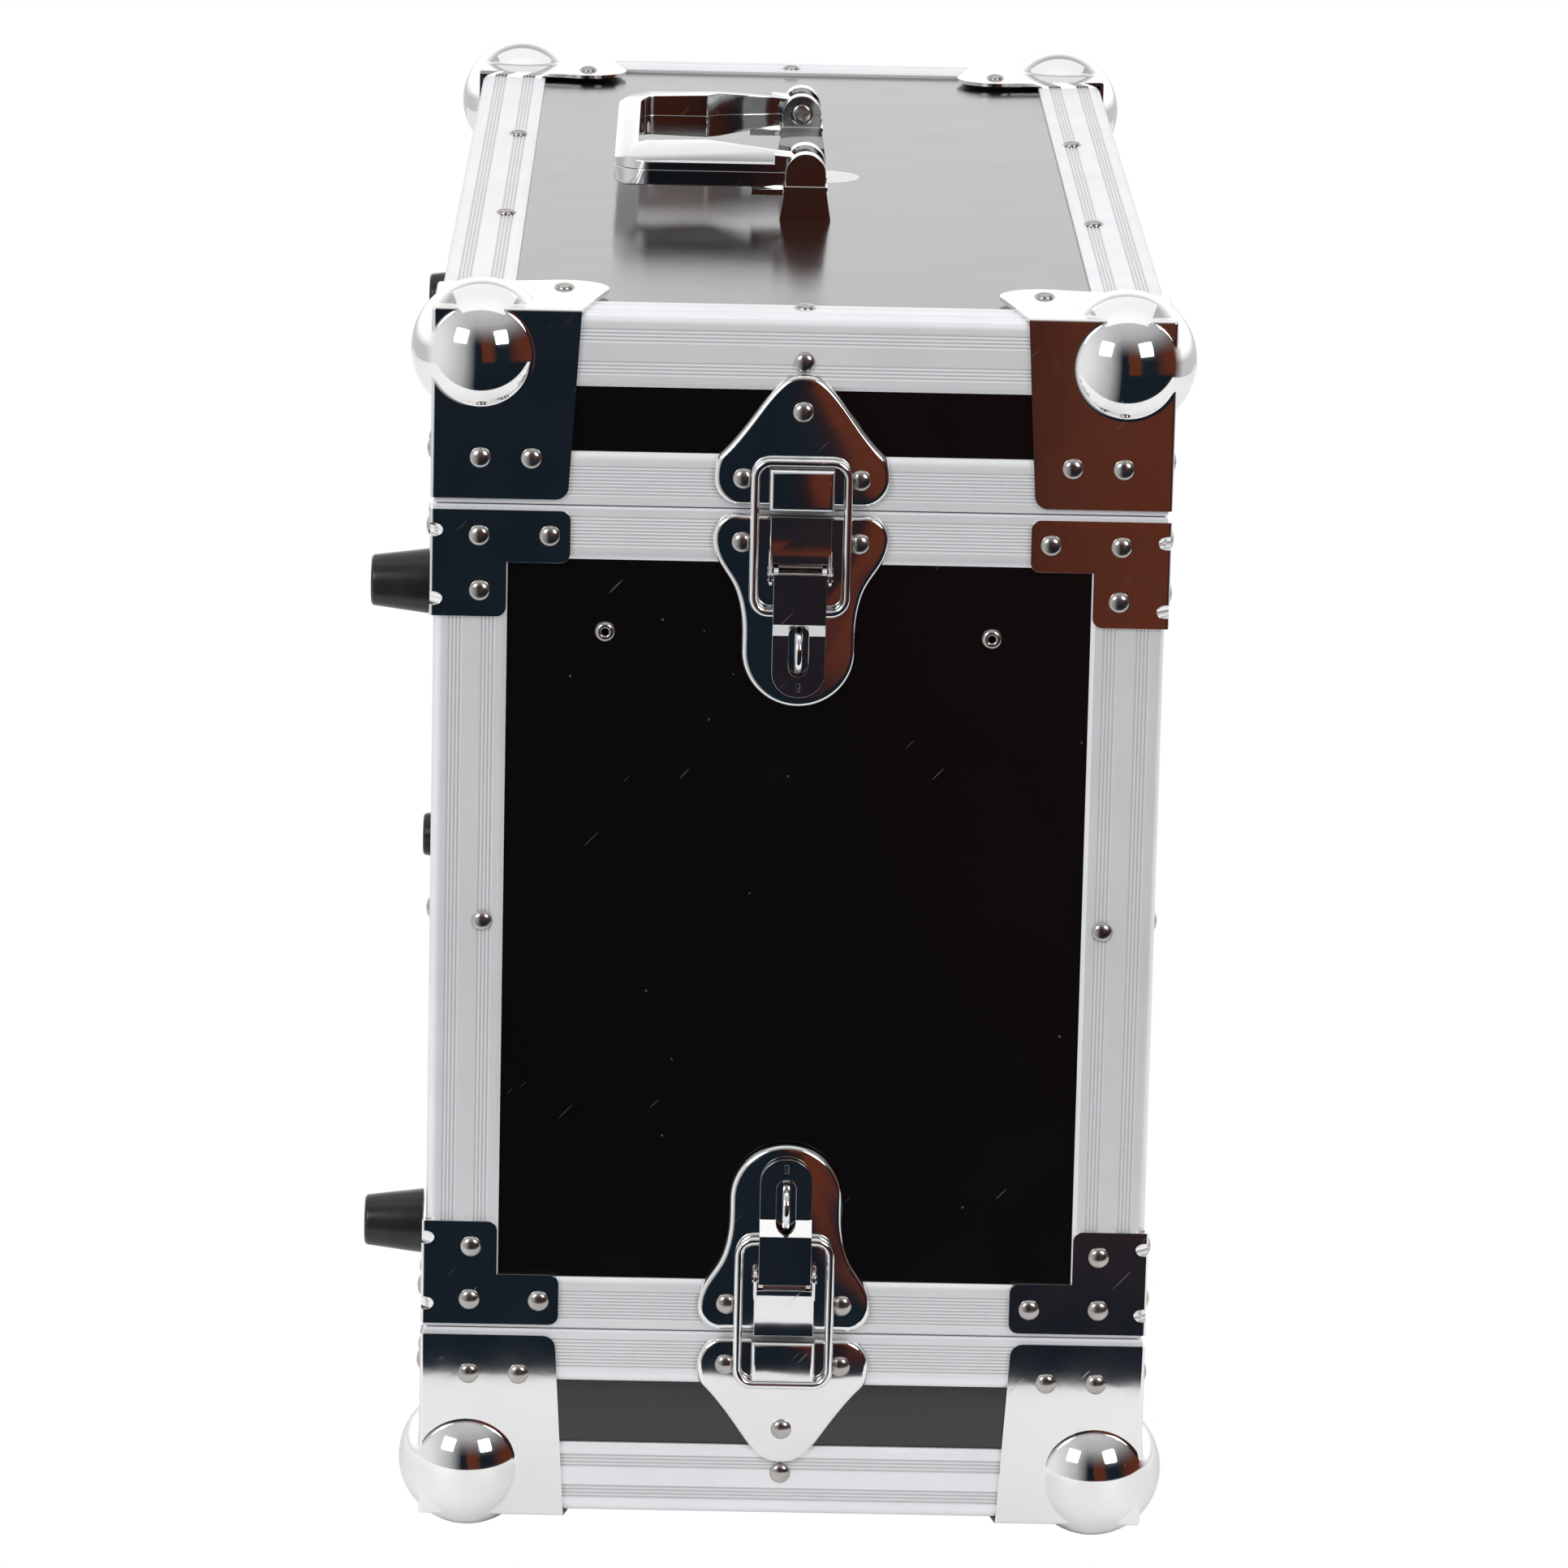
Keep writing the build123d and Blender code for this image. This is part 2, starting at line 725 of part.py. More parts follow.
def make_staples(name):
    """Padlock staples that stand on the latch bases and pass through the levers."""
    middle = -(staple_start + staple_end) / 2
    radius = (staple_end - staple_start) / 2
    with BuildPart() as staples:
        for cover in (1, -1):
            for end, _ in ends:
                with BuildSketch(along_plane(end_plane(cover, end), -staple_wire / 2)):
                    shoulder = staple_top - radius
                    with Locations((middle, shoulder)):
                        Circle(radius)
                    with Locations((middle, latch_plate)):
                        Rectangle(2 * radius, shoulder - latch_plate, align=(Align.CENTER, Align.MIN))
                    with Locations((middle, shoulder)):
                        Circle(radius - staple_wire, mode=Mode.SUBTRACT)
                    with Locations((middle, latch_plate)):
                        Rectangle(
                            2 * (radius - staple_wire),
                            shoulder - latch_plate,
                            align=(Align.CENTER, Align.MIN),
                            mode=Mode.SUBTRACT,
                        )
                    with Locations((middle, latch_plate)):
                        Rectangle(
                            4 * radius, 4 * radius, align=(Align.CENTER, Align.MAX), mode=Mode.SUBTRACT
                        )
                extrude(amount=staple_wire)
    save(staples.part, name)


def make_end_panel(end, name):
    """End panel of the case body, drilled for the rivets of its rack rail."""
    height = body_depth - 2 * (rim_web + seam_gap / 2)
    face = end_plane(1, end).offset(-skin)
    with BuildPart() as panel:
        with BuildSketch(face):
            with Locations((0, -body_depth / 2)):
                Rectangle(case_width - 2 * skin, height)
            with Locations((-rail_rivet_x, -rail_rivet_drop), (rail_rivet_x, -rail_rivet_drop)):
                Circle(rail_rivet_shank / 2 + rail_rivet_fit, mode=Mode.SUBTRACT)
        extrude(amount=-board)
    save(panel.part, name)


def foot_places():
    """Y and Z of the rubber feet, each over the leg of a brace."""
    return [
        (end * (case_length / 2 - foot_inset), z)
        for end in (-1, 1)
        for z in (rear_seam_z + foot_rear_drop, front_seam_z - foot_front_drop)
    ]


def side_plane(side, depth=skin):
    """Plane on a side face of the case, x along Y, y up, z out of the case. It lies on the outer
    face of the side panel, or at another depth below the aluminium face."""
    return Plane(
        origin=(centre_x + side * (case_width / 2 - depth), 0, 0),
        x_dir=(0, side, 0),
        z_dir=(side, 0, 0),
    )


def foot_drillings():
    """Bores for the screws of the feet, from the face of the braces into the side panel."""
    with BuildPart() as bores:
        with BuildSketch(side_plane(-1, -plate)):
            with Locations(*[(-y, z) for y, z in foot_places()]):
                Circle(foot_screw_shank / 2 + screw_fit)
        extrude(amount=-plate - skin - foot_screw_bite)
    return bores.part


def make_side_panel(side, name):
    """Side panel of the case body, between the end panels; the one with the feet is drilled."""
    height = body_depth - 2 * (rim_web + seam_gap / 2)
    with BuildPart() as panel:
        with BuildSketch(side_plane(side)):
            with Locations((0, rear_seam_z + body_depth / 2)):
                Rectangle(case_length - 2 * wall, height)
        extrude(amount=-board)
        if side < 0:
            add(foot_drillings(), mode=Mode.SUBTRACT)
    save(panel.part, name)


def make_corner_profiles(name):
    """Aluminium angles on the four upright corners of the case body."""
    with BuildPart() as profiles:
        for x_side, _ in sides:
            for y_side, _ in ends:
                with BuildSketch(corner_plane(1, x_side, y_side, -rim_height)):
                    Rectangle(flange, flange, align=(Align.MIN, Align.MIN))
                    fillet(vertices().sort_by_distance((0, 0))[0], edge_radius)
                    with Locations((skin, skin)):
                        Rectangle(
                            flange, flange, align=(Align.MIN, Align.MIN), mode=Mode.SUBTRACT
                        )
                extrude(amount=-(body_depth - 2 * rim_height))
        add(foot_drillings(), mode=Mode.SUBTRACT)
    save(profiles.part, name)


def make_rack_rail(end, name):
    """Rack rail: a steel angle riveted to an end panel, with the standard row of holes."""
    face = end_plane(1, end)
    across = case_width - 2 * wall - 2 * rail_end_gap
    leaf = case_length / 2 - wall - rack_opening / 2
    with BuildPart() as rail:
        with BuildSketch(along_plane(face, -across / 2)):
            with BuildLine():
                Polyline(
                    (-rail_setback, -wall),
                    (-rail_setback - rail_depth, -wall),
                    (-rail_setback - rail_depth, -wall - rail_sheet),
                    (-rail_setback - rail_sheet, -wall - rail_sheet),
                    (-rail_setback - rail_sheet, -wall - leaf),
                    (-rail_setback, -wall - leaf),
                    close=True,
                )
            make_face()
        extrude(amount=across)
        with BuildSketch(face.offset(-wall)):
            with Locations((-rail_rivet_x, -rail_rivet_drop), (rail_rivet_x, -rail_rivet_drop)):
                Circle(rail_rivet_shank / 2 + rail_rivet_fit)
        extrude(amount=-rail_sheet, mode=Mode.SUBTRACT)
        with BuildSketch(Plane.XY.offset(front_seam_z - rail_setback)):
            for unit in range(rack_units):
                for step in unit_holes:
                    x = centre_x + (unit - rack_units / 2) * unit_height + step
                    with Locations((x, end * rack_hole_spacing / 2)):
                        Circle(rack_hole / 2)
        extrude(amount=-rail_sheet, mode=Mode.SUBTRACT)
    save(rail.part, name)


def make_rail_rivets(name):
    """Blind rivets that hold the rack rails: a head outside, a shank and a set tail inside, and
    the open bore that the drawn mandrel leaves."""
    with BuildPart() as rivets:
        for end, _ in ends:
            outside = end_plane(1, end).offset(-skin)
            inside = outside.offset(-board - rail_sheet)
            places = ((-rail_rivet_x, -rail_rivet_drop), (rail_rivet_x, -rail_rivet_drop))
            with BuildSketch(outside):
                with Locations(*places):
                    RegularPolygon(rivet_diameter / 2, rivet_sides)
            extrude(amount=rivet_height, taper=rivet_taper)
            with BuildSketch(outside):
                with Locations(*places):
                    RegularPolygon(rail_rivet_shank / 2, rivet_sides)
            extrude(amount=-board - rail_sheet)
            with BuildSketch(inside):
                with Locations(*places):
                    RegularPolygon(rail_rivet_tail_diameter / 2, rivet_sides)
            extrude(amount=-rail_rivet_tail)
            with BuildSketch(outside.offset(rivet_height)):
                with Locations(*places):
                    RegularPolygon(rail_rivet_bore / 2, rivet_sides)
            extrude(
                amount=-rivet_height - board - rail_sheet - rail_rivet_tail, mode=Mode.SUBTRACT
            )
    save(rivets.part, name)


def make_feet(name):
    """Rubber feet: tapered, with a recess in the tip for the head of the screw."""
    with BuildPart() as feet:
        for y, z in foot_places():
            root = side_plane(-1, -plate)
            origin = root.from_local_coords(Vector(-y, z, 0))
            axis_plane = Plane(origin=origin, x_dir=(0, 0, 1), z_dir=(0, 1, 0))
            with BuildSketch(axis_plane):
                with BuildLine():
                    bore = foot_screw_shank / 2 + screw_fit
                    floor = foot_length - foot_recess_depth
                    Polyline(
                        (bore, 0),
                        (foot_base_diameter / 2, 0),
                        (foot_tip_diameter / 2, -foot_length),
                        (foot_recess_diameter / 2, -foot_length),
                        (foot_recess_diameter / 2, -floor),
                        (bore, -floor),
                        close=True,
                    )
                make_face()
            revolve(axis=Axis(origin, (1, 0, 0)))
    save(feet.part, name)


def make_foot_screws(name):
    """Screws in the recesses of the feet, driven into the side panel."""
    floor = foot_length - foot_recess_depth
    with BuildPart() as screws:
        with BuildSketch(side_plane(-1, -plate - floor)):
            with Locations(*[(-y, z) for y, z in foot_places()]):
                RegularPolygon(foot_screw_head / 2, rivet_sides)
        extrude(amount=foot_screw_head_height)
        with BuildSketch(side_plane(-1, -plate - floor)):
            with Locations(*[(-y, z) for y, z in foot_places()]):
                RegularPolygon(foot_screw_shank / 2, rivet_sides)
        extrude(amount=-floor - plate - skin - foot_screw_bite)
    save(screws.part, name)


def handle_centres():
    """Y of the two handle brackets, and the side of each that faces the other."""
    return ((handle_y - handle_pitch / 2, 1), (handle_y + handle_pitch / 2, -1))


def bolt_places():
    """Bolts of the brackets, in the plane of the front cover."""
    return [
        (handle_x, y + step)
        for y, _ in handle_centres()
        for step in (-bracket_bolt_spacing / 2, bracket_bolt_spacing / 2)
    ]


def handle_plane(y):
    """Upright plane across the handle at y: x towards the grip, y up from the board, z along Y."""
    board_z = front_face_z - skin
    return Plane(origin=(centre_x + handle_x, y, board_z), x_dir=(-1, 0, 0), z_dir=(0, 1, 0))


def make_bracket(y, inner_side, name):
    """Die-cast bracket of the handle: an arched block with a slot for the arm and a stop below."""
    half = bracket_length / 2
    slot = handle_arm_width + 2 * bracket_slot_clearance
    arch_radius = bracket_waist_width / 2
    arch_centre = bracket_height - arch_radius
    with BuildPart() as bracket:
        with BuildSketch(handle_plane(y - half)):
            with BuildLine():
                left = Polyline(
                    (bracket_waist_width / 2, arch_centre),
                    (bracket_waist_width / 2, bracket_waist_height),
                    (bracket_foot_width / 2, 0),
                    (-bracket_foot_width / 2, 0),
                    (-bracket_waist_width / 2, bracket_waist_height),
                    (-bracket_waist_width / 2, arch_centre),
                )
                ThreePointArc(left @ 1, (0, bracket_height), left @ 0)
            make_face()
        extrude(amount=bracket_length)
        with BuildSketch(handle_plane(y - half - bracket_bead)):
            with Locations((0, bracket_waist_height - bracket_bead_height)):
                Rectangle(
                    bracket_waist_width + 2 * bracket_bead,
                    bracket_bead_height,
                    align=(Align.CENTER, Align.MIN),
                )
        extrude(amount=bracket_length + 2 * bracket_bead)
        with BuildSketch(handle_plane(y - slot / 2)):
            with Locations((0, bracket_slot_floor)):
                Rectangle(2 * bracket_foot_width, bracket_height, align=(Align.CENTER, Align.MIN))
        extrude(amount=slot, mode=Mode.SUBTRACT)
        with BuildSketch(handle_plane(y - stop_width / 2)):
            with Locations((bracket_waist_width / 2, stop_top)):
                Rectangle(stop_length, stop_sheet, align=(Align.MIN, Align.MAX))
        extrude(amount=stop_width)
        with BuildSketch(handle_plane(y + inner_side * half)):
            with Locations((0, handle_pivot_height)):
                Circle(handle_pin_diameter / 2)
        extrude(amount=inner_side * (pin_wall - bracket_length), mode=Mode.SUBTRACT)
        with BuildSketch(handle_plane(y + inner_side * half)):
            with Locations((0, handle_pivot_height)):
                Circle(handle_pin_head / 2 + screw_fit)
        extrude(amount=-inner_side * pin_recess_depth, mode=Mode.SUBTRACT)
        with BuildSketch(Plane.XY.offset(front_face_z - skin)):
            for step in (-bracket_bolt_spacing / 2, bracket_bolt_spacing / 2):
                with Locations((centre_x + handle_x, y + step)):
                    Circle(bracket_bolt_diameter / 2)
        extrude(amount=bracket_bolt_depth, mode=Mode.SUBTRACT)
    save(bracket.part, name)


def make_handle_pins(name):
    """Screws on which the handle turns, each headed on the side that faces the other bracket."""
    half = bracket_length / 2
    with BuildPart() as pins:
        for y, inner_side in handle_centres():
            with BuildSketch(handle_plane(y + inner_side * half)):
                with Locations((0, handle_pivot_height)):
                    Circle(handle_pin_diameter / 2 - pin_fit)
            extrude(amount=inner_side * (pin_wall - bracket_length))
            with BuildSketch(handle_plane(y + inner_side * half)):
                with Locations((0, handle_pivot_height)):
                    Circle(handle_pin_head / 2)
            extrude(amount=-inner_side * pin_recess_depth)
    save(pins.part, name)


def make_bracket_bolts(name):
    """Bolts from inside the front cover that hold the handle brackets."""
    seam = seam_plane(1)
    with BuildPart() as bolts:
        with BuildSketch(seam.offset(cover_depth - wall - bracket_bolt_head_height)):
            with Locations(*bolt_places()):
                RegularPolygon(bracket_bolt_head / 2, rivet_sides)
        extrude(amount=bracket_bolt_head_height)
        with BuildSketch(seam.offset(cover_depth - wall)):
            with Locations(*bolt_places()):
                Circle(bracket_bolt_diameter / 2 - pin_fit)
        extrude(amount=board + bracket_bolt_depth)
    save(bolts.part, name)


def handle_plan():
    """Plan of the handle round its pivot axis: x towards the grip, y along the axis."""
    outer = handle_pitch / 2 + handle_arm_width / 2
    arm = outer - handle_arm_width
    root = outer - handle_root_width
    corner = outer - handle_corner_width
    inner = handle_length - handle_grip
    points = (
        (-eye_radius, outer),
        (handle_length, outer),
        (handle_length, -outer),
        (-eye_radius, -outer),
        (-eye_radius, -arm),
        (handle_crown_start, -arm),
        (handle_shoulder_start, -root),
        (handle_shoulder_end, -corner),
        (inner, -corner),
        (inner, corner),
        (handle_shoulder_end, corner),
        (handle_shoulder_start, root),
        (handle_crown_start, arm),
        (-eye_radius, arm),
    )
    with BuildSketch() as plan:
        with BuildLine():
            Polyline(*points, close=True)
        make_face()
        for point in (points[1], points[2]):
            fillet(plan.vertices().sort_by_distance(point)[0], handle_outer_radius)
        for point in (points[8], points[9]):
            fillet(plan.vertices().sort_by_distance(point)[0], handle_inner_radius)
    return plan.sketch


def handle_crown(upper):
    """Space that the crowned arms and grip fill: its faces slope up from the outer edge all round,
    save at the pivot, where the eyes keep their full height."""
    outer = handle_pitch / 2 + handle_arm_width / 2
    edge = handle_edge_top if upper else handle_edge_bottom
    full = handle_top if upper else handle_bottom
    way = 1 if upper else -1
    slope = degrees(atan2(handle_crown_run, full - edge))
    floor = Plane(
        origin=(centre_x + handle_x, handle_y, front_face_z - skin + handle_pivot_height),
        x_dir=(-1, 0, 0),
        z_dir=(0, 0, 1),
    )
    with BuildPart() as crown:
        with BuildSketch(floor.offset(handle_parting)):
            with Locations((0, 0)):
                Rectangle(2 * handle_length, 2 * outer)
            fillet(vertices().group_by(Axis.X)[0], handle_outer_radius)
        extrude(amount=way * edge - handle_parting)
        with BuildSketch(floor.offset(way * edge)):
            with Locations((0, 0)):
                Rectangle(2 * handle_length, 2 * outer)
            fillet(vertices().group_by(Axis.X)[0], handle_outer_radius)
        extrude(amount=way * (full - edge), taper=slope)
        with BuildSketch(floor.offset(handle_parting)):
            Rectangle(2 * handle_crown_start, 2 * outer)
        extrude(amount=way * full - handle_parting)
    return crown.part


def make_handle_shell(upper, name):
    """Upper or lower shell of the handle. The plan gives its outline and the side profile its
    height, and the two meet at the parting plane."""
    pivot = Plane(
        origin=(centre_x + handle_x, handle_y, front_face_z - skin + handle_pivot_height),
        x_dir=(-1, 0, 0),
        z_dir=(0, 0, 1),
    )
    reach = handle_pitch / 2 + bracket_length
    with BuildPart() as shell:
        with BuildSketch(pivot.offset(handle_parting)):
            add(handle_plan())
        extrude(amount=2 * handle_top if upper else -2 * handle_bottom)
        side_profile = Plane(
            origin=pivot.from_local_coords(Vector(0, reach, 0)), x_dir=(-1, 0, 0), z_dir=(0, 1, 0)
        )
        with BuildSketch(side_profile):
            with BuildLine():
                if upper:
                    Polyline(
                        (0, handle_parting),
                        (0, handle_root_top),
                        (handle_shoulder_start, handle_top),
                        (handle_length, handle_top - handle_end_drop),
                        (handle_length, handle_parting),
                        close=True,
                    )
                else:
                    Polyline(
                        (0, handle_parting),
                        (0, -handle_root_bottom),
                        (handle_shoulder_start, -handle_bottom),
                        (handle_length, -handle_bottom + handle_end_drop),
                        (handle_length, handle_parting),
                        close=True,
                    )
            make_face()
            with Locations((0, 0)):
                Circle(eye_radius)
            with Locations((0, handle_parting)):
                Rectangle(
                    2 * reach,
                    2 * reach,
                    align=(Align.CENTER, Align.MAX if upper else Align.MIN),
                    mode=Mode.SUBTRACT,
                )
            Circle(handle_pin_diameter / 2 + handle_pin_clearance, mode=Mode.SUBTRACT)
        extrude(amount=-2 * reach, both=True, mode=Mode.INTERSECT)
        add(handle_crown(upper), mode=Mode.INTERSECT)
    save(shell.part, name)


os.makedirs("parts", exist_ok=True)

for cover, cover_name in ((1, "front"), (-1, "rear")):
    make_board(cover, f"{cover_name}_cover_board", bolt_places() if cover > 0 else ())
    make_walls(cover, f"{cover_name}_cover_walls")
    make_edge_profiles(cover, f"{cover_name}_cover_edge_profiles")
    make_cover_rim(cover, f"{cover_name}_cover_rim")
    make_case_rim(cover, f"case_{cover_name}_rim")
    make_braces(cover, f"{cover_name}_corner_braces")
    make_rivets(cover_rivet_places(cover), f"{cover_name}_cover_rivets")
    for end, end_name in ends:
        make_keeper(cover, end, f"{cover_name}_{end_name}_keeper")
        make_latch_base(cover, end, f"{cover_name}_{end_name}_latch_base")
        make_lever(cover, end, f"{cover_name}_{end_name}_lever")
        make_bail(cover, end, f"{cover_name}_{end_name}_bail")
        for side, side_name in sides:
            make_ball_corner(cover, side, end, f"{cover_name}_{end_name}_{side_name}_ball_corner")

for end, end_name in ends:
    make_end_panel(end, f"{end_name}_end_panel")
    make_rack_rail(end, f"{end_name}_rack_rail")
for side, side_name in sides:
    make_side_panel(side, f"{side_name}_side_panel")
make_corner_profiles("corner_profiles")
make_rivets(case_rivet_places(), "case_rivets")
make_rail_rivets("rail_rivets")
make_feet("rubber_feet")
make_foot_screws("foot_screws")
make_lever_pins("lever_pins")
make_staples("padlock_staples")

for (bracket_y, facing), end_name in zip(handle_centres(), ("near", "far")):
    make_bracket(bracket_y, facing, f"{end_name}_handle_bracket")
make_handle_pins("handle_pins")
make_bracket_bolts("bracket_bolts")
make_handle_shell(True, "handle_upper_shell")
make_handle_shell(False, "handle_lower_shell")
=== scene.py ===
import bpy
import bmesh
import json
import math
import numpy as np
from mathutils import Matrix, Vector

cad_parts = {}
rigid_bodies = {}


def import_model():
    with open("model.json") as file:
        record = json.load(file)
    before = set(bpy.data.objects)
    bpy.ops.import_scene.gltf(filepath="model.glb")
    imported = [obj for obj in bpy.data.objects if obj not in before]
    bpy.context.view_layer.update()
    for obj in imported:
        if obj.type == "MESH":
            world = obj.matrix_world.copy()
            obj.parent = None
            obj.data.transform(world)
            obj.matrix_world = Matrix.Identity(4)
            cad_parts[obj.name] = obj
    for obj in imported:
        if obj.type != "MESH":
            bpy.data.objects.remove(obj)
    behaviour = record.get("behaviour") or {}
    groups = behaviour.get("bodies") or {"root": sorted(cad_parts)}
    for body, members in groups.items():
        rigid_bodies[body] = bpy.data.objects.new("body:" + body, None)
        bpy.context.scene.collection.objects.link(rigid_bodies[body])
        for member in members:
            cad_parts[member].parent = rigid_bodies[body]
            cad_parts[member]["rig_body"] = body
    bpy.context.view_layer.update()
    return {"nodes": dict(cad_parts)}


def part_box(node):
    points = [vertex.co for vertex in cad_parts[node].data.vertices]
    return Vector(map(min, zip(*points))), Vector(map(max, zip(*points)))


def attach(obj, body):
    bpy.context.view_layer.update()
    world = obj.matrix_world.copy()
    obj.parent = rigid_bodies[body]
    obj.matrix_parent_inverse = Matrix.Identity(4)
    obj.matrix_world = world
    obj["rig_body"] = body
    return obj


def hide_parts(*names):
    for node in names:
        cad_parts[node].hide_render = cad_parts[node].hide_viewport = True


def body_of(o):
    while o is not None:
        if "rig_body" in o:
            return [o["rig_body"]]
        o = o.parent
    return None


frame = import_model()
mm = 0.001


# The case as a whole. Its panels, covers and hardware are placed from the boxes of the CAD nodes, so
# they follow a change of its main sizes.

def corners(node):
    """Lowest and highest corner of a CAD node as arrays."""
    lo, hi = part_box(node)
    return np.array(lo), np.array(hi)


body_lo, body_hi = corners("corner_profiles")
top = corners("front_cover_edge_profiles")[1][2]
bottom = corners("rear_cover_edge_profiles")[0][2]
middle = (body_lo + body_hi) / 2
half_x, half_y = (body_hi - body_lo)[:2] / 2


# Surface effects that several materials share: fine grain as a bump, sparse pale specks, slow clouds
# of tone and fine slanting scratches.

def repaint(name):
    """The node tree of a material slot, emptied but for its shader."""
    tree = bpy.data.materials[name].node_tree
    for node in list(tree.nodes):
        if node.type not in ("BSDF_PRINCIPLED", "OUTPUT_MATERIAL"):
            tree.nodes.remove(node)
    return tree, tree.nodes["Principled BSDF"]


def group(name, inputs, output, kind="NodeSocketFloat"):
    """An empty node group with named number inputs and one output."""
    tree = bpy.data.node_groups.new(name, "ShaderNodeTree")
    tree.interface.new_socket("Position", in_out="INPUT", socket_type="NodeSocketVector")
    for label, value in inputs.items():
        socket = tree.interface.new_socket(label, in_out="INPUT", socket_type="NodeSocketFloat")
        socket.default_value = value
    tree.interface.new_socket(output, in_out="OUTPUT", socket_type=kind)
    return tree, tree.nodes.new("NodeGroupInput"), tree.nodes.new("NodeGroupOutput")


def figured(tree, operation, first, second):
    """The result of an operation on two values, each a socket or a plain number."""
    node = tree.nodes.new("ShaderNodeMath")
    node.operation = operation
    for socket, value in zip(node.inputs, (first, second)):
        if isinstance(value, float):
            socket.default_value = value
        else:
            tree.links.new(value, socket)
    return node.outputs[0]


grain, grain_in, grain_out = group(
    "fine_grain", {"Scale": 1000.0, "Height": 0.1}, "Normal", "NodeSocketVector"
)
noise = grain.nodes.new("ShaderNodeTexNoise")
noise.inputs["Detail"].default_value = 3.0
bump = grain.nodes.new("ShaderNodeBump")
bump.inputs["Distance"].default_value = 0.1 * mm
grain.links.new(grain_in.outputs["Position"], noise.inputs["Vector"])
grain.links.new(grain_in.outputs["Scale"], noise.inputs["Scale"])
grain.links.new(noise.outputs["Fac"], bump.inputs["Height"])
grain.links.new(grain_in.outputs["Height"], bump.inputs["Strength"])
grain.links.new(bump.outputs["Normal"], grain_out.inputs["Normal"])

marks, marks_in, marks_out = group("sparse_marks", {"Scale": 60.0, "Size": 0.05}, "Mask")
cells = marks.nodes.new("ShaderNodeTexVoronoi")
cells.inputs["Randomness"].default_value = 1.0
patchy = marks.nodes.new("ShaderNodeTexNoise")
patchy.inputs["Scale"].default_value = 25.0
marks.links.new(marks_in.outputs["Position"], cells.inputs["Vector"])
marks.links.new(marks_in.outputs["Scale"], cells.inputs["Scale"])
marks.links.new(marks_in.outputs["Position"], patchy.inputs["Vector"])
near = figured(marks, "LESS_THAN", cells.outputs["Distance"], marks_in.outputs["Size"])
few = figured(marks, "GREATER_THAN", patchy.outputs["Fac"], 0.56)
marks.links.new(figured(marks, "MULTIPLY", near, few), marks_out.inputs["Mask"])

cloud, cloud_in, cloud_out = group("cloudy_value", {"Scale": 20.0, "Low": 0.0, "High": 1.0}, "Value")
drift = cloud.nodes.new("ShaderNodeTexNoise")
drift.inputs["Detail"].default_value = 4.0
spread = cloud.nodes.new("ShaderNodeMapRange")
spread.inputs["From Min"].default_value = 0.3
spread.inputs["From Max"].default_value = 0.7
cloud.links.new(cloud_in.outputs["Position"], drift.inputs["Vector"])
cloud.links.new(cloud_in.outputs["Scale"], drift.inputs["Scale"])
cloud.links.new(drift.outputs["Fac"], spread.inputs["Value"])
cloud.links.new(cloud_in.outputs["Low"], spread.inputs["To Min"])
cloud.links.new(cloud_in.outputs["High"], spread.inputs["To Max"])
cloud.links.new(spread.outputs["Result"], cloud_out.inputs["Value"])

scratch, scratch_in, scratch_out = group("hairlines", {"Scale": 900.0, "Limit": 0.72}, "Mask")
slant = scratch.nodes.new("ShaderNodeMapping")
slant.inputs["Rotation"].default_value = (0.5, 0.75, 0.35)
long = scratch.nodes.new("ShaderNodeMapping")
long.inputs["Scale"].default_value = (0.05, 1.0, 1.0)
streak = scratch.nodes.new("ShaderNodeTexNoise")
streak.inputs["Detail"].default_value = 0.0
scratch.links.new(scratch_in.outputs["Position"], slant.inputs["Vector"])
scratch.links.new(slant.outputs["Vector"], long.inputs["Vector"])
scratch.links.new(long.outputs["Vector"], streak.inputs["Vector"])
scratch.links.new(scratch_in.outputs["Scale"], streak.inputs["Scale"])
rare = figured(scratch, "GREATER_THAN", streak.outputs["Fac"], scratch_in.outputs["Limit"])
scratch.links.new(rare, scratch_out.inputs["Mask"])


def use(tree, effect, **values):
    """The output of a shared effect at the Object coordinates of the piece."""
    place = tree.nodes.new("ShaderNodeTexCoord")
    node = tree.nodes.new("ShaderNodeGroup")
    node.node_tree = effect
    tree.links.new(place.outputs["Object"], node.inputs["Position"])
    for label, value in values.items():
        node.inputs[label].default_value = value
    return node.outputs[0]


def blend(tree, mask, first, second):
    """A colour that goes from the first to the second as the mask goes from 0 to 1. Either is a
    socket or a plain colour."""
    mix = tree.nodes.new("ShaderNodeMix")
    mix.data_type = "RGBA"
    tree.links.new(mask, mix.inputs["Factor"])
    for label, colour in (("A", first), ("B", second)):
        if isinstance(colour, tuple):
            mix.inputs[label].default_value = (*colour, 1.0)
        else:
            tree.links.new(colour, mix.inputs[label])
    return mix.outputs["Result"]


def clouded(tree, scale, first, second):
    """A colour that drifts between two tones in soft clouds."""
    return blend(tree, use(tree, cloud, Scale=scale, Low=0.0, High=1.0), first, second)


# Panels. Plywood faced with a black satin laminate that has a fine grain, a few pale specks and a
# few short scratches.

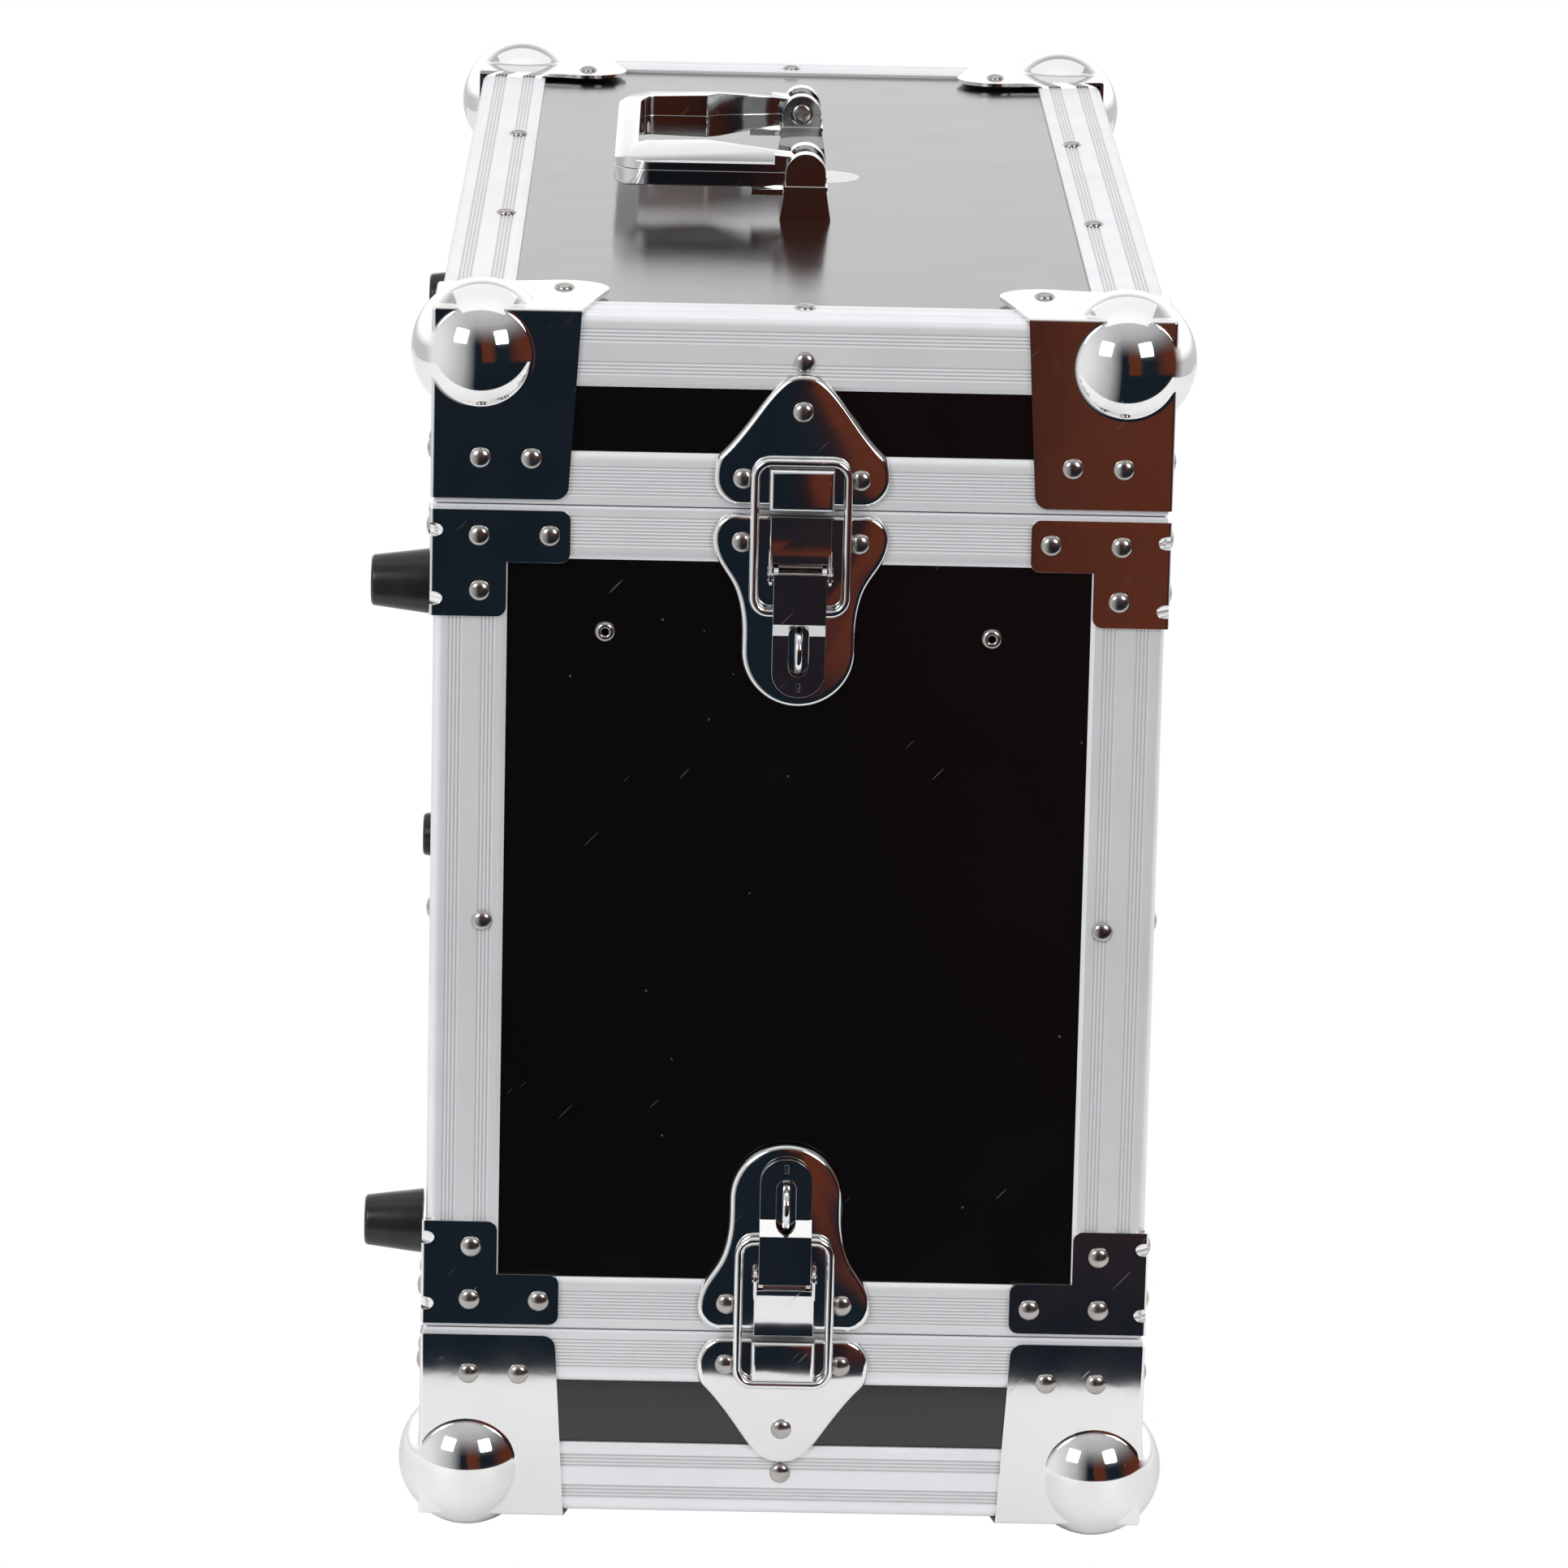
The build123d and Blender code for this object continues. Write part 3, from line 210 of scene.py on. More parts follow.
tree, shader = repaint("black_laminate")
specks = use(tree, marks, Scale=90.0, Size=0.035)
lines = use(tree, scratch, Scale=1500.0, Limit=0.9)
worn = figured(tree, "MAXIMUM", specks, lines)
tone = blend(tree, worn, (0.0012, 0.0012, 0.0014), (0.06, 0.055, 0.045))
tree.links.new(tone, shader.inputs["Base Color"])
sheen = use(tree, cloud, Scale=35.0, Low=0.14, High=0.17)
tree.links.new(sheen, shader.inputs["Roughness"])
shader.inputs["Metallic"].default_value = 0.0
shader.inputs["IOR"].default_value = 1.65
skin = use(tree, grain, Scale=2500.0, Height=0.05)
tree.links.new(skin, shader.inputs["Normal"])


# Aluminium extrusions. Natural anodised, pale and satin, with slow changes of tone and painted shade:
# a darker base colour at the bottoms of the grooves between the ribs.

tree, shader = repaint("aluminium_profile")
tone = clouded(tree, 40.0, (0.68, 0.69, 0.71), (0.73, 0.74, 0.76))
# Painted shade: points at the bottoms of the rib grooves get a darker base colour in place of the
# shade that falls there.
groove = tree.nodes.new("ShaderNodeAttribute")
groove.attribute_name = "groove"
groove_painted_shade = blend(tree, groove.outputs["Fac"], tone, (0.56, 0.56, 0.57))
tree.links.new(groove_painted_shade, shader.inputs["Base Color"])
sheen = use(tree, cloud, Scale=15.0, Low=0.38, High=0.42)
tree.links.new(sheen, shader.inputs["Roughness"])
shader.inputs["Metallic"].default_value = 0.5


# Chromed hardware. Steel under bright chrome, its surface a little wavy from pressing, with fine
# hairline wear; the handle is plated over smooth castings and is cleaner.

for name, wave, worn, tone in (
    ("chromed_steel", 0.3, 0.08, 0.76),
    ("handle_chrome", 0.15, 0.05, 0.6),
):
    tree, shader = repaint(name)
    shade = clouded(tree, 30.0, (tone - 0.03,) * 3, (tone + 0.03,) * 3)
    tree.links.new(shade, shader.inputs["Base Color"])
    sheen = use(tree, cloud, Scale=60.0, Low=worn - 0.03, High=worn)
    lines = use(tree, scratch, Scale=1800.0, Limit=0.84)
    rough = figured(tree, "MAXIMUM", sheen, figured(tree, "MULTIPLY", lines, 0.25))
    tree.links.new(rough, shader.inputs["Roughness"])
    shader.inputs["Metallic"].default_value = 1.0
    skin = use(tree, grain, Scale=55.0, Height=wave)
    tree.links.new(skin, shader.inputs["Normal"])


# Rivets and rail sheet. Plain zinc-plated steel, duller than the chrome.

for name, dark, pale, rough in (
    ("rivet_steel", (0.36, 0.34, 0.33), (0.47, 0.45, 0.43), 0.2),
    ("zinc_steel", (0.5, 0.5, 0.5), (0.62, 0.62, 0.61), 0.4),
):
    tree, shader = repaint(name)
    tree.links.new(clouded(tree, 200.0, dark, pale), shader.inputs["Base Color"])
    sheen = use(tree, cloud, Scale=400.0, Low=rough - 0.05, High=rough + 0.05)
    tree.links.new(sheen, shader.inputs["Roughness"])
    shader.inputs["Metallic"].default_value = 1.0


# Rubber of the feet. Black and glossy from the mould.

tree, shader = repaint("black_rubber")
tone = clouded(tree, 90.0, (0.006, 0.006, 0.006), (0.012, 0.012, 0.012))
tree.links.new(tone, shader.inputs["Base Color"])
sheen = use(tree, cloud, Scale=150.0, Low=0.22, High=0.34)
tree.links.new(sheen, shader.inputs["Roughness"])
shader.inputs["Specular IOR Level"].default_value = 0.35


# Ribbed aluminium profiles. One angle section edges the covers and the upright corners: two bands
# of fine ribs on each leg, a rounded outer corner and a bevel on each inner edge. A channel section
# edges the mouth of the case and of the covers, with one wide band of ribs.

def finished(name, verts, faces, material, node, sharp=30, groove=None):
    """A new piece from its points and faces. Faces are turned outward and edges sharper than the
    given angle stay sharp. Where it stands for a CAD node it rides on that node's body. Groove is 1
    at the points that lie at the bottom of a groove."""
    mesh = bpy.data.meshes.new(name)
    mesh.from_pydata([tuple(v) for v in verts], [], [tuple(int(i) for i in f) for f in faces])
    form = bmesh.new()
    form.from_mesh(mesh)
    bmesh.ops.recalc_face_normals(form, faces=form.faces)
    for face in form.faces:
        face.smooth = True
    limit = math.radians(sharp)
    for edge in form.edges:
        edge.smooth = len(edge.link_faces) == 2 and edge.calc_face_angle() < limit
    form.to_mesh(mesh)
    form.free()
    if groove is not None:
        depth = mesh.attributes.new("groove", "FLOAT", "POINT")
        depth.data.foreach_set("value", groove)
    mesh.materials.append(bpy.data.materials[material])
    piece = bpy.data.objects.new(name, mesh)
    bpy.context.scene.collection.objects.link(piece)
    if node:
        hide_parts(node)
        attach(piece, body_of(frame["nodes"][node])[0])
    return piece


profile_skin = 1.5 * mm
groove_depth = 0.5 * mm


def ribs(start, count, pitch=1.1 * mm, depth=groove_depth):
    """Points of a row of V grooves side by side along a face, as (distance along it, depth)."""
    points = []
    for i in range(count):
        points += [(start + i * pitch, 0.0), (start + (i + 0.45) * pitch, depth)]
    return points + [(start + count * pitch, 0.0)]


def angle_section(flange=22 * mm, skin=profile_skin, radius=3 * mm):
    """Closed section of the angle as (in from one face, in from the other)."""
    bevel = 1.3 * mm
    leg = ribs(4.3 * mm, 4) + ribs(14.1 * mm, 4) + [(flange - bevel, 0.0), (flange, 0.55 * mm)]
    turns = [(math.pi / 2) * k / 6 for k in range(1, 6)]
    bend = [(radius * (1 - math.cos(t)), radius * (1 - math.sin(t))) for t in turns]
    first = [(depth, along) for along, depth in reversed(leg)] + [(0.0, radius)]
    second = [(radius, 0.0)] + [(along, depth) for along, depth in leg]
    inner = [(flange, skin), (skin, skin), (skin, flange)]
    return first + bend + second + inner


def hollows(section):
    """1 for each point of a section that is at the bottom of a rib groove, else 0."""
    return [float(abs(min(point) - groove_depth) < 0.001 * mm) for point in section]


def closed_grid(rows, columns):
    """Faces between rows of points, where the last row joins the first and each row is a loop."""
    faces = []
    for i in range(rows):
        j = (i + 1) % rows
        for k in range(columns):
            n = (k + 1) % columns
            faces.append((i * columns + k, i * columns + n, j * columns + n, j * columns + k))
    return faces


def swept_ring(section, level, way):
    """A closed section carried round the plan of the case with mitred corners. Its first number
    is the distance in from the sides and its second the distance from a level, in a direction."""
    verts = []
    for x_side, y_side in ((-1, -1), (1, -1), (1, 1), (-1, 1)):
        for inset, rise in section:
            x = middle[0] + x_side * (half_x - inset)
            y = middle[1] + y_side * (half_y - inset)
            verts.append((x, y, level + way * rise))
    return verts, closed_grid(4, len(section))


for cover, level, way in (("front", top, -1), ("rear", bottom, 1)):
    verts, faces = swept_ring(angle_section(), level, way)
    finished(f"{cover}_edge_extrusions", verts, faces, "aluminium_profile",
             f"{cover}_cover_edge_profiles", 20, hollows(angle_section()) * 4)


def channel_section(height, web, groove):
    """Closed section of the channel: its outer leg, the web at the seam and a short inner leg.
    A groove above zero is cut into the web, one below zero stands on it as a tongue."""
    inside, leg = 10.5 * mm, 11.7 * mm
    lip = (5.0 * mm, 1.7 * mm if groove > 0 else 1.3 * mm)
    face = [(0.0, 0.6 * mm)] + [(depth, along) for along, depth in ribs(2.8 * mm, 9, 1.04 * mm)]
    face += [(0.0, height - 3 * mm), (0.06 * mm, height - 2.2 * mm), (0.22 * mm, height - 1.4 * mm)]
    face += [(0.55 * mm, height - 0.6 * mm), (1.0 * mm, height)]
    back = [(profile_skin, height), (profile_skin, web), (inside, web), (inside, height)]
    back += [(leg, height), (leg, 0.0)]
    mouth = [(lip[0] + lip[1], 0.0), (lip[0] + lip[1], groove)]
    mouth += [(lip[0] - lip[1], groove), (lip[0] - lip[1], 0.0), (0.6 * mm, 0.0)]
    return face + back + mouth


for node, web, groove, at_top in (
    ("case_front_rim", 1.5 * mm, -3.2 * mm, True),
    ("case_rear_rim", 1.5 * mm, -3.2 * mm, False),
    ("front_cover_rim", 5.0 * mm, 3.8 * mm, False),
    ("rear_cover_rim", 5.0 * mm, 3.8 * mm, True),
):
    lo, hi = corners(node)
    tongue = max(0.0, -groove)
    level = hi[2] - tongue if at_top else lo[2] + tongue
    section = channel_section(hi[2] - lo[2] - tongue, web, groove)
    verts, faces = swept_ring(section, level, -1 if at_top else 1)
    finished(node + "_extrusions", verts, faces, "aluminium_profile", node, 20, hollows(section) * 4)

section = angle_section()
n = len(section)
verts, faces = [], []
for x_side in (-1, 1):
    for y_side in (-1, 1):
        start = len(verts)
        for z in (body_lo[2], body_hi[2]):
            for a, b in section:
                verts.append((middle[0] + x_side * (half_x - a), middle[1] + y_side * (half_y - b), z))
        faces += [(start + i, start + (i + 1) % n, start + n + (i + 1) % n, start + n + i)
                  for i in range(n)]
        faces += [tuple(range(start, start + n)), tuple(range(start + n, start + 2 * n))]
finished("corner_extrusions", verts, faces, "aluminium_profile", "corner_profiles", 20,
         hollows(section) * 8)


# Rivets. Low steel domes, one on each place where the part has a rivet.

merge_distance = 0.002 * mm


def solids(node):
    """Boxes of the separate solids of a CAD node, each as its lowest and highest corner."""
    source = frame["nodes"][node]
    form = bmesh.new()
    form.from_mesh(source.data)
    form.transform(source.matrix_world)
    bmesh.ops.remove_doubles(form, verts=form.verts, dist=merge_distance)
    left = set(form.verts)
    boxes = []
    while left:
        patch = {left.pop()}
        frontier = list(patch)
        while frontier:
            for link in frontier.pop().link_edges:
                for vert in link.verts:
                    if vert in left:
                        left.remove(vert)
                        patch.add(vert)
                        frontier.append(vert)
        points = np.array([v.co[:] for v in patch])
        boxes.append((points.min(axis=0), points.max(axis=0)))
    form.free()
    return boxes


def dome(radius, height, rings=6, around=24):
    """Revolved quarter ellipse: each ring's radius and height follow cosine and sine."""
    verts = [(0.0, 0.0, 0.0)]
    for ring in range(rings):
        angle = ring / rings * math.pi / 2
        for k in range(around):
            turn = 2 * math.pi * k / around
            verts.append((radius * math.cos(angle) * math.cos(turn),
                          radius * math.cos(angle) * math.sin(turn), height * math.sin(angle)))
    top = len(verts)
    verts.append((0.0, 0.0, height))
    faces = []
    for ring in range(rings - 1):
        for k in range(around):
            a, b = 1 + ring * around + k, 1 + ring * around + (k + 1) % around
            faces.append((a, b, b + around, a + around))
    last = 1 + (rings - 1) * around
    for k in range(around):
        faces.append((last + k, last + (k + 1) % around, top))
        faces.append((0, 1 + (k + 1) % around, 1 + k))
    return np.array(verts), faces


for node in ("front_cover_rivets", "rear_cover_rivets", "case_rivets"):
    verts, faces = [], []
    for lo, hi in solids(node):
        size = hi - lo
        across = int(np.argmin(size))
        outward = 1 if (lo + hi)[across] / 2 > middle[across] else -1
        base = (lo + hi) / 2
        base[across] = lo[across] if outward > 0 else hi[across]
        head, head_faces = dome(size.max() / 2, size.min())
        points = np.zeros_like(head)
        points[:, across] = outward * head[:, 2]
        points[:, (across + 1) % 3] = head[:, 0]
        points[:, (across + 2) % 3] = head[:, 1]
        faces += [tuple(i + len(verts) for i in face) for face in head_faces]
        verts += [tuple(p) for p in points + base]
    finished(node + "_domes", verts, faces, "rivet_steel", node, sharp=60)


# Blind rivets of the rack rails. A round flange with the open bore that the mandrel leaves, a
# shank through the panel and a set tail inside.

def turned(profile, base, across, outward, around=32):
    """A closed profile of (radius, height) points turned about an axis through the base."""
    ring = np.array(profile)
    verts = np.zeros((len(ring), around, 3))
    turns = 2 * np.pi * np.arange(around) / around
    verts[:, :, across] = outward * ring[:, 1, None]
    verts[:, :, (across + 1) % 3] = ring[:, 0, None] * np.cos(turns)
    verts[:, :, (across + 2) % 3] = ring[:, 0, None] * np.sin(turns)
    verts = (verts + np.array(base)).reshape(-1, 3)
    return [tuple(v) for v in verts], closed_grid(len(ring), around)


def gathered(parts):
    """Points and faces of several solids as one mesh."""
    verts, faces = [], []
    for part_verts, part_faces in parts:
        faces += [tuple(i + len(verts) for i in face) for face in part_faces]
        verts += [tuple(v) for v in part_verts]
    return verts, faces


parts = []
for lo, hi in solids("rail_rivets"):
    outward = 1 if (lo + hi)[1] > 0 else -1
    head, shank, bore = 3.15 * mm, 2.0 * mm, 1.1 * mm
    face, inner = body_hi[1] - profile_skin, 11 * mm
    base = ((lo + hi)[0] / 2, outward * face, (lo + hi)[2] / 2)
    profile = [
        (bore, 0.9 * mm), (bore + 0.25 * mm, 1.3 * mm), (1.9 * mm, 1.45 * mm), (2.6 * mm, 1.1 * mm),
        (head, 0.45 * mm), (head, 0.0), (shank, 0.0), (shank, -inner), (2.8 * mm, -inner),
        (2.6 * mm, -inner - 3 * mm), (bore, -inner - 3 * mm),
    ]
    parts.append(turned(profile, base, 1, outward))
finished("blind_rivets", *gathered(parts), "rivet_steel", "rail_rivets", sharp=50)


# Rubber feet. Moulded cones with a rounded rim and a recess in the tip for the screw.

parts = []
for lo, hi in solids("rubber_feet"):
    base = (hi[0], *((lo + hi) / 2)[1:])
    root, long = (hi - lo)[1] / 2, hi[0] - lo[0]
    tip, rim, steps = 7.7 * mm, 1.3 * mm, 6
    profile = [(2.1 * mm, 0.0), (root, 0.0), (root, 0.8 * mm)]
    for k in range(steps + 1):
        turn = math.pi / 2 * k / steps
        profile.append((tip - rim * (1 - math.cos(turn)), long - rim * (1 - math.sin(turn))))
    profile += [(4.9 * mm, long), (4.5 * mm, long - 0.4 * mm), (4.5 * mm, long - 9 * mm)]
    profile += [(2.1 * mm, long - 9 * mm)]
    parts.append(turned(profile, base, 0, -1, 48))
finished("moulded_feet", *gathered(parts), "black_rubber", "rubber_feet", sharp=40)


# Bails. Closed rings of round chromed wire with rounded corners.

def wire_ring(lo, hi, corner, turns=8, around=16):
    """Round wire along a rounded rectangle that lies across Y and fills a box."""
    wire = (hi - lo)[1] / 2
    centre = (lo + hi) / 2
    half = (hi - lo) / 2 - wire
    bend = corner - wire
    path = []
    for quarter in range(4):
        x_side, z_side = ((1, 1), (-1, 1), (-1, -1), (1, -1))[quarter]
        for k in range(turns + 1):
            turn = math.pi / 2 * (quarter + k / turns)
            out = np.array([math.cos(turn), math.sin(turn)])
            mid = np.array([x_side * (half[0] - bend), z_side * (half[2] - bend)])
            path.append((mid + bend * out, out))
    verts = []
    for point, out in path:
        for k in range(around):
            turn = 2 * math.pi * k / around
            reach = point + wire * math.cos(turn) * out
            verts.append((centre[0] + reach[0], centre[1] + wire * math.sin(turn),
                          centre[2] + reach[1]))
    return verts, closed_grid(len(path), around)


for node in frame["nodes"]:
    if node.endswith("_bail"):
        finished(node + "_wire", *wire_ring(*corners(node), 6 * mm), "chromed_steel", node, sharp=60)


# Corner braces. Bent steel plates with two small dents pressed into each bend, which stiffen it.

def cut_away(mesh, verts, faces, operation="DIFFERENCE"):
    """The mesh with solids subtracted from it, or joined to it, by a Boolean on two objects that are
    then removed."""
    tool = bpy.data.meshes.new("cuts")
    tool.from_pydata([tuple(v) for v in verts], [], [tuple(f) for f in faces])
    pair = [bpy.data.objects.new(m.name, m) for m in (mesh, tool)]
    for part in pair:
        bpy.context.scene.collection.objects.link(part)
    boolean = pair[0].modifiers.new("cuts", "BOOLEAN")
    boolean.operation = operation
    boolean.solver = "EXACT"
    boolean.object = pair[1]
    graph = bpy.context.evaluated_depsgraph_get()
    result = bpy.data.meshes.new_from_object(pair[0].evaluated_get(graph))
    for part in pair:
        bpy.data.objects.remove(part)
    return result


def rounded(node, radius, segments=3, fills=None, cuts=None):
    """The CAD node again with its edges rounded: points merged, flat facets joined to whole faces
    and every edge over 30 degrees bevelled. Fills and cuts are points and faces of solids that are
    first added and then taken away."""
    source = frame["nodes"][node]
    form = bmesh.new()
    form.from_mesh(source.data)
    form.transform(source.matrix_world)
    bmesh.ops.remove_doubles(form, verts=form.verts, dist=merge_distance)
    bmesh.ops.dissolve_limit(
        form, angle_limit=math.radians(1), verts=form.verts, edges=form.edges
    )
    mesh = bpy.data.meshes.new(node + "_whole")
    form.to_mesh(mesh)
    form.free()
    if fills:
        mesh = cut_away(mesh, *fills, "UNION")
    if cuts:
        mesh = cut_away(mesh, *cuts)
    verts = [v.co.copy() for v in mesh.vertices]
    faces = [list(p.vertices) for p in mesh.polygons]
    piece = finished(node + "_rounded", verts, faces, source.data.materials[0].name, node)
    bevel = piece.modifiers.new("rounded edges", "BEVEL")
    bevel.width = radius
    bevel.segments = segments
    bevel.limit_method = "ANGLE"
    bevel.angle_limit = math.radians(30)


def outward_faces(parts):
    """Points and faces of several closed solids, every face turned outward."""
    verts, faces = gathered(parts)
    form = bmesh.new()
    points = [form.verts.new(v) for v in verts]
    for face in faces:
        form.faces.new([points[i] for i in face])
    bmesh.ops.recalc_face_normals(form, faces=form.faces)
    form.verts.index_update()
    faces = [[v.index for v in f.verts] for f in form.faces]
    form.free()
    return verts, faces


def dents(node):
    """Wedges that thicken each bend of a brace from inside, and short round bars across the bend
    that are cut from them."""
    lo, hi = corners(node)
    long, radius, inset, around = 5 * mm, 2.0 * mm, 0.75 * mm, 20
    thin, thick, half_height = 0.4 * mm, 3.6 * mm, 2.6 * mm
    at_top = node.startswith("front")
    wedges, bars = [], []
    for x_side in (-1, 1):
        for y_side in (-1, 1):
            for drop in (6.3 * mm, 27.1 * mm):
                z = hi[2] - drop if at_top else lo[2] + drop
                corner = np.array([lo[0] if x_side < 0 else hi[0], lo[1] if y_side < 0 else hi[1], z])
                across, inward = np.array([-x_side, 0, 0]), np.array([0, -y_side, 0])
                verts = [corner + a * across + b * inward + np.array([0, 0, c])
                         for c in (-half_height, half_height)
                         for a, b in ((thin, thin), (thin, thick), (thick, thin))]
                faces = [(0, 1, 2), (3, 5, 4), (0, 3, 4, 1), (1, 4, 5, 2), (2, 5, 3, 0)]
                wedges.append((verts, faces))
                diagonal = (across + inward) / math.sqrt(2)
                along = (across - inward) / math.sqrt(2)
                verts = []
                for side in (-1, 1):
                    for k in range(around):
                        turn = 2 * math.pi * k / around
                        verts.append(corner + inset * diagonal + side * long * along
                                     + radius * math.cos(turn) * diagonal
                                     + np.array([0, 0, radius * math.sin(turn)]))
                faces = [(k, (k + 1) % around, around + (k + 1) % around, around + k)
                         for k in range(around)]
                faces += [tuple(range(around - 1, -1, -1)), tuple(range(around, 2 * around))]
                bars.append((verts, faces))
    return outward_faces(wedges), outward_faces(bars)


for node in ("front_corner_braces", "rear_corner_braces"):
    fills, cuts = dents(node)
    rounded(node, 0.3 * mm, fills=fills, cuts=cuts)


# Handle screws. Flat heads with a cross recess, sunk in the brackets on the sides that face each
# other.

parts = []
for lo, hi in solids("handle_pins"):
    toward = -1 if (lo + hi)[1] > 0 else 1
    face = lo[1] if toward < 0 else hi[1]
    base = np.array([(lo + hi)[0] / 2, face, (lo + hi)[2] / 2])
    length = hi[1] - lo[1]
    profile = [
        (0.02 * mm, 0.0), (2.7 * mm, 0.0), (3.25 * mm, -0.3 * mm), (3.5 * mm, -0.8 * mm),
        (3.5 * mm, -2.4 * mm), (2.0 * mm, -2.4 * mm), (2.0 * mm, -length), (0.02 * mm, -length),
    ]
    verts, faces = turned(profile, base, 1, toward, 48)
    screw = bpy.data.meshes.new("screw")
    screw.from_pydata(verts, [], faces)
    for angle in (math.radians(20), math.radians(110)):
        arm = np.array([math.cos(angle), 0.0, math.sin(angle)])
        side = np.array([-math.sin(angle), 0.0, math.cos(angle)])
        bar = [base + a * 2.3 * mm * arm + b * 0.5 * mm * side + np.array([0.0, c * 1.3 * mm, 0.0])
               for a in (-1, 1) for b in (-1, 1) for c in (-1, 1)]
        sides = [(0, 1, 3, 2), (4, 6, 7, 5), (0, 4, 5, 1), (2, 3, 7, 6), (0, 2, 6, 4), (1, 5, 7, 3)]
        screw = cut_away(screw, bar, sides)
    parts.append(([v.co[:] for v in screw.vertices], [p.vertices[:] for p in screw.polygons]))
finished("handle_screws", *gathered(parts),
         frame["nodes"]["handle_pins"].data.materials[0].name, "handle_pins", sharp=40)


# Latches and handle. Pressed or cast pieces whose edges are all a little rounded, which gives each
# a bright line along its edges.

for node in frame["nodes"]:
    if node.endswith(("_keeper", "_latch_base")):
        rounded(node, 1.2 * mm, 5)
    elif node.endswith("_lever"):
        rounded(node, 0.4 * mm)
    elif node.endswith("_handle_bracket"):
        rounded(node, 0.5 * mm)
    elif node == "padlock_staples":
        rounded(node, 0.7 * mm)
    elif node.startswith("handle_") and node.endswith("_shell"):
        rounded(node, 2.2 * mm, 6)


# Blank disc. A thin round of pale film stuck on the top board beside the handle.

board_top = corners("front_cover_board")[1][2]
disc_centre, disc_radius, disc_height = (12.3 * mm, 13.3 * mm), 13.6 * mm, 0.12 * mm
verts, faces = dome(disc_radius, disc_height, rings=4, around=64)
verts = verts + np.array([*disc_centre, board_top])
material = bpy.data.materials.new("pale_film")
material.use_nodes = True
disc = finished("blank_disc", verts, faces, "pale_film", None, sharp=60)
tree, shader = repaint("pale_film")
tone = clouded(tree, 80.0, (0.55, 0.55, 0.54), (0.63, 0.63, 0.62))
tree.links.new(tone, shader.inputs["Base Color"])
shader.inputs["Roughness"].default_value = 0.35
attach(disc, "front_cover")


# Floor. A pale tabletop that ends a little in front of the case, as the reflections in the photo
# show, and reads as plain white to the camera.

floor_reach, floor_front, floor_half = 1.6, 0.43, 1.2
mesh = bpy.data.meshes.new("floor")
mesh.from_pydata(
    [(-floor_half, -floor_front, 0), (floor_half, -floor_front, 0),
     (floor_half, floor_reach, 0), (-floor_half, floor_reach, 0)], [], [(0, 1, 2, 3)])
floor = bpy.data.objects.new("floor", mesh)
bpy.context.scene.collection.objects.link(floor)
material = bpy.data.materials.new("pale_floor")
material.use_nodes = True
mesh.materials.append(material)
tree = material.node_tree
shader = tree.nodes["Principled BSDF"]
shader.inputs["Base Color"].default_value = (0.95, 0.95, 0.95, 1)
shader.inputs["Roughness"].default_value = 0.6
path = tree.nodes.new("ShaderNodeLightPath")
plain = tree.nodes.new("ShaderNodeEmission")
plain.inputs["Color"].default_value = (1, 1, 1, 1)
choose = tree.nodes.new("ShaderNodeMixShader")
tree.links.new(path.outputs["Is Camera Ray"], choose.inputs[0])
tree.links.new(shader.outputs[0], choose.inputs[1])
tree.links.new(plain.outputs[0], choose.inputs[2])
tree.links.new(choose.outputs[0], tree.nodes["Material Output"].inputs["Surface"])


# Studio round the case: white to the camera, soft white for the light it gives, and for reflections
# a bright ceiling and back with a dark room in front, navy to the left and brown to the right.

world = bpy.data.worlds.new("studio")
bpy.context.scene.world = world
world.use_nodes = True
tree = world.node_tree
tree.nodes.clear()
out = tree.nodes.new("ShaderNodeOutputWorld")
path = tree.nodes.new("ShaderNodeLightPath")
aim = tree.nodes.new("ShaderNodeTexCoord")
axes = tree.nodes.new("ShaderNodeSeparateXYZ")
tree.links.new(aim.outputs["Generated"], axes.inputs[0])


def ramp(source, stops):
    """Colours along one axis of the direction, from -1 to 1."""
    scale = tree.nodes.new("ShaderNodeMapRange")
    scale.inputs["From Min"].default_value = -1.0
    scale.inputs["From Max"].default_value = 1.0
    tree.links.new(source, scale.inputs["Value"])
    colours = tree.nodes.new("ShaderNodeValToRGB")
    bar = colours.color_ramp
    while len(bar.elements) < len(stops):
        bar.elements.new(0.5)
    for element, (place, colour) in zip(bar.elements, stops):
        element.position = (place + 1) / 2
        element.color = (*colour, 1.0)
    tree.links.new(scale.outputs["Result"], colours.inputs["Fac"])
    return colours.outputs["Color"]


def background(colour, strength):
    """Light of one colour, a socket or a plain colour."""
    node = tree.nodes.new("ShaderNodeBackground")
    node.inputs["Strength"].default_value = strength
    if isinstance(colour, tuple):
        node.inputs["Color"].default_value = (*colour, 1.0)
    else:
        tree.links.new(colour, node.inputs["Color"])
    return node.outputs[0]


def either(ray, first, second):
    """The first light for most rays and the second for those of one kind."""
    mix = tree.nodes.new("ShaderNodeMixShader")
    tree.links.new(path.outputs[ray], mix.inputs[0])
    tree.links.new(first, mix.inputs[1])
    tree.links.new(second, mix.inputs[2])
    return mix.outputs[0]


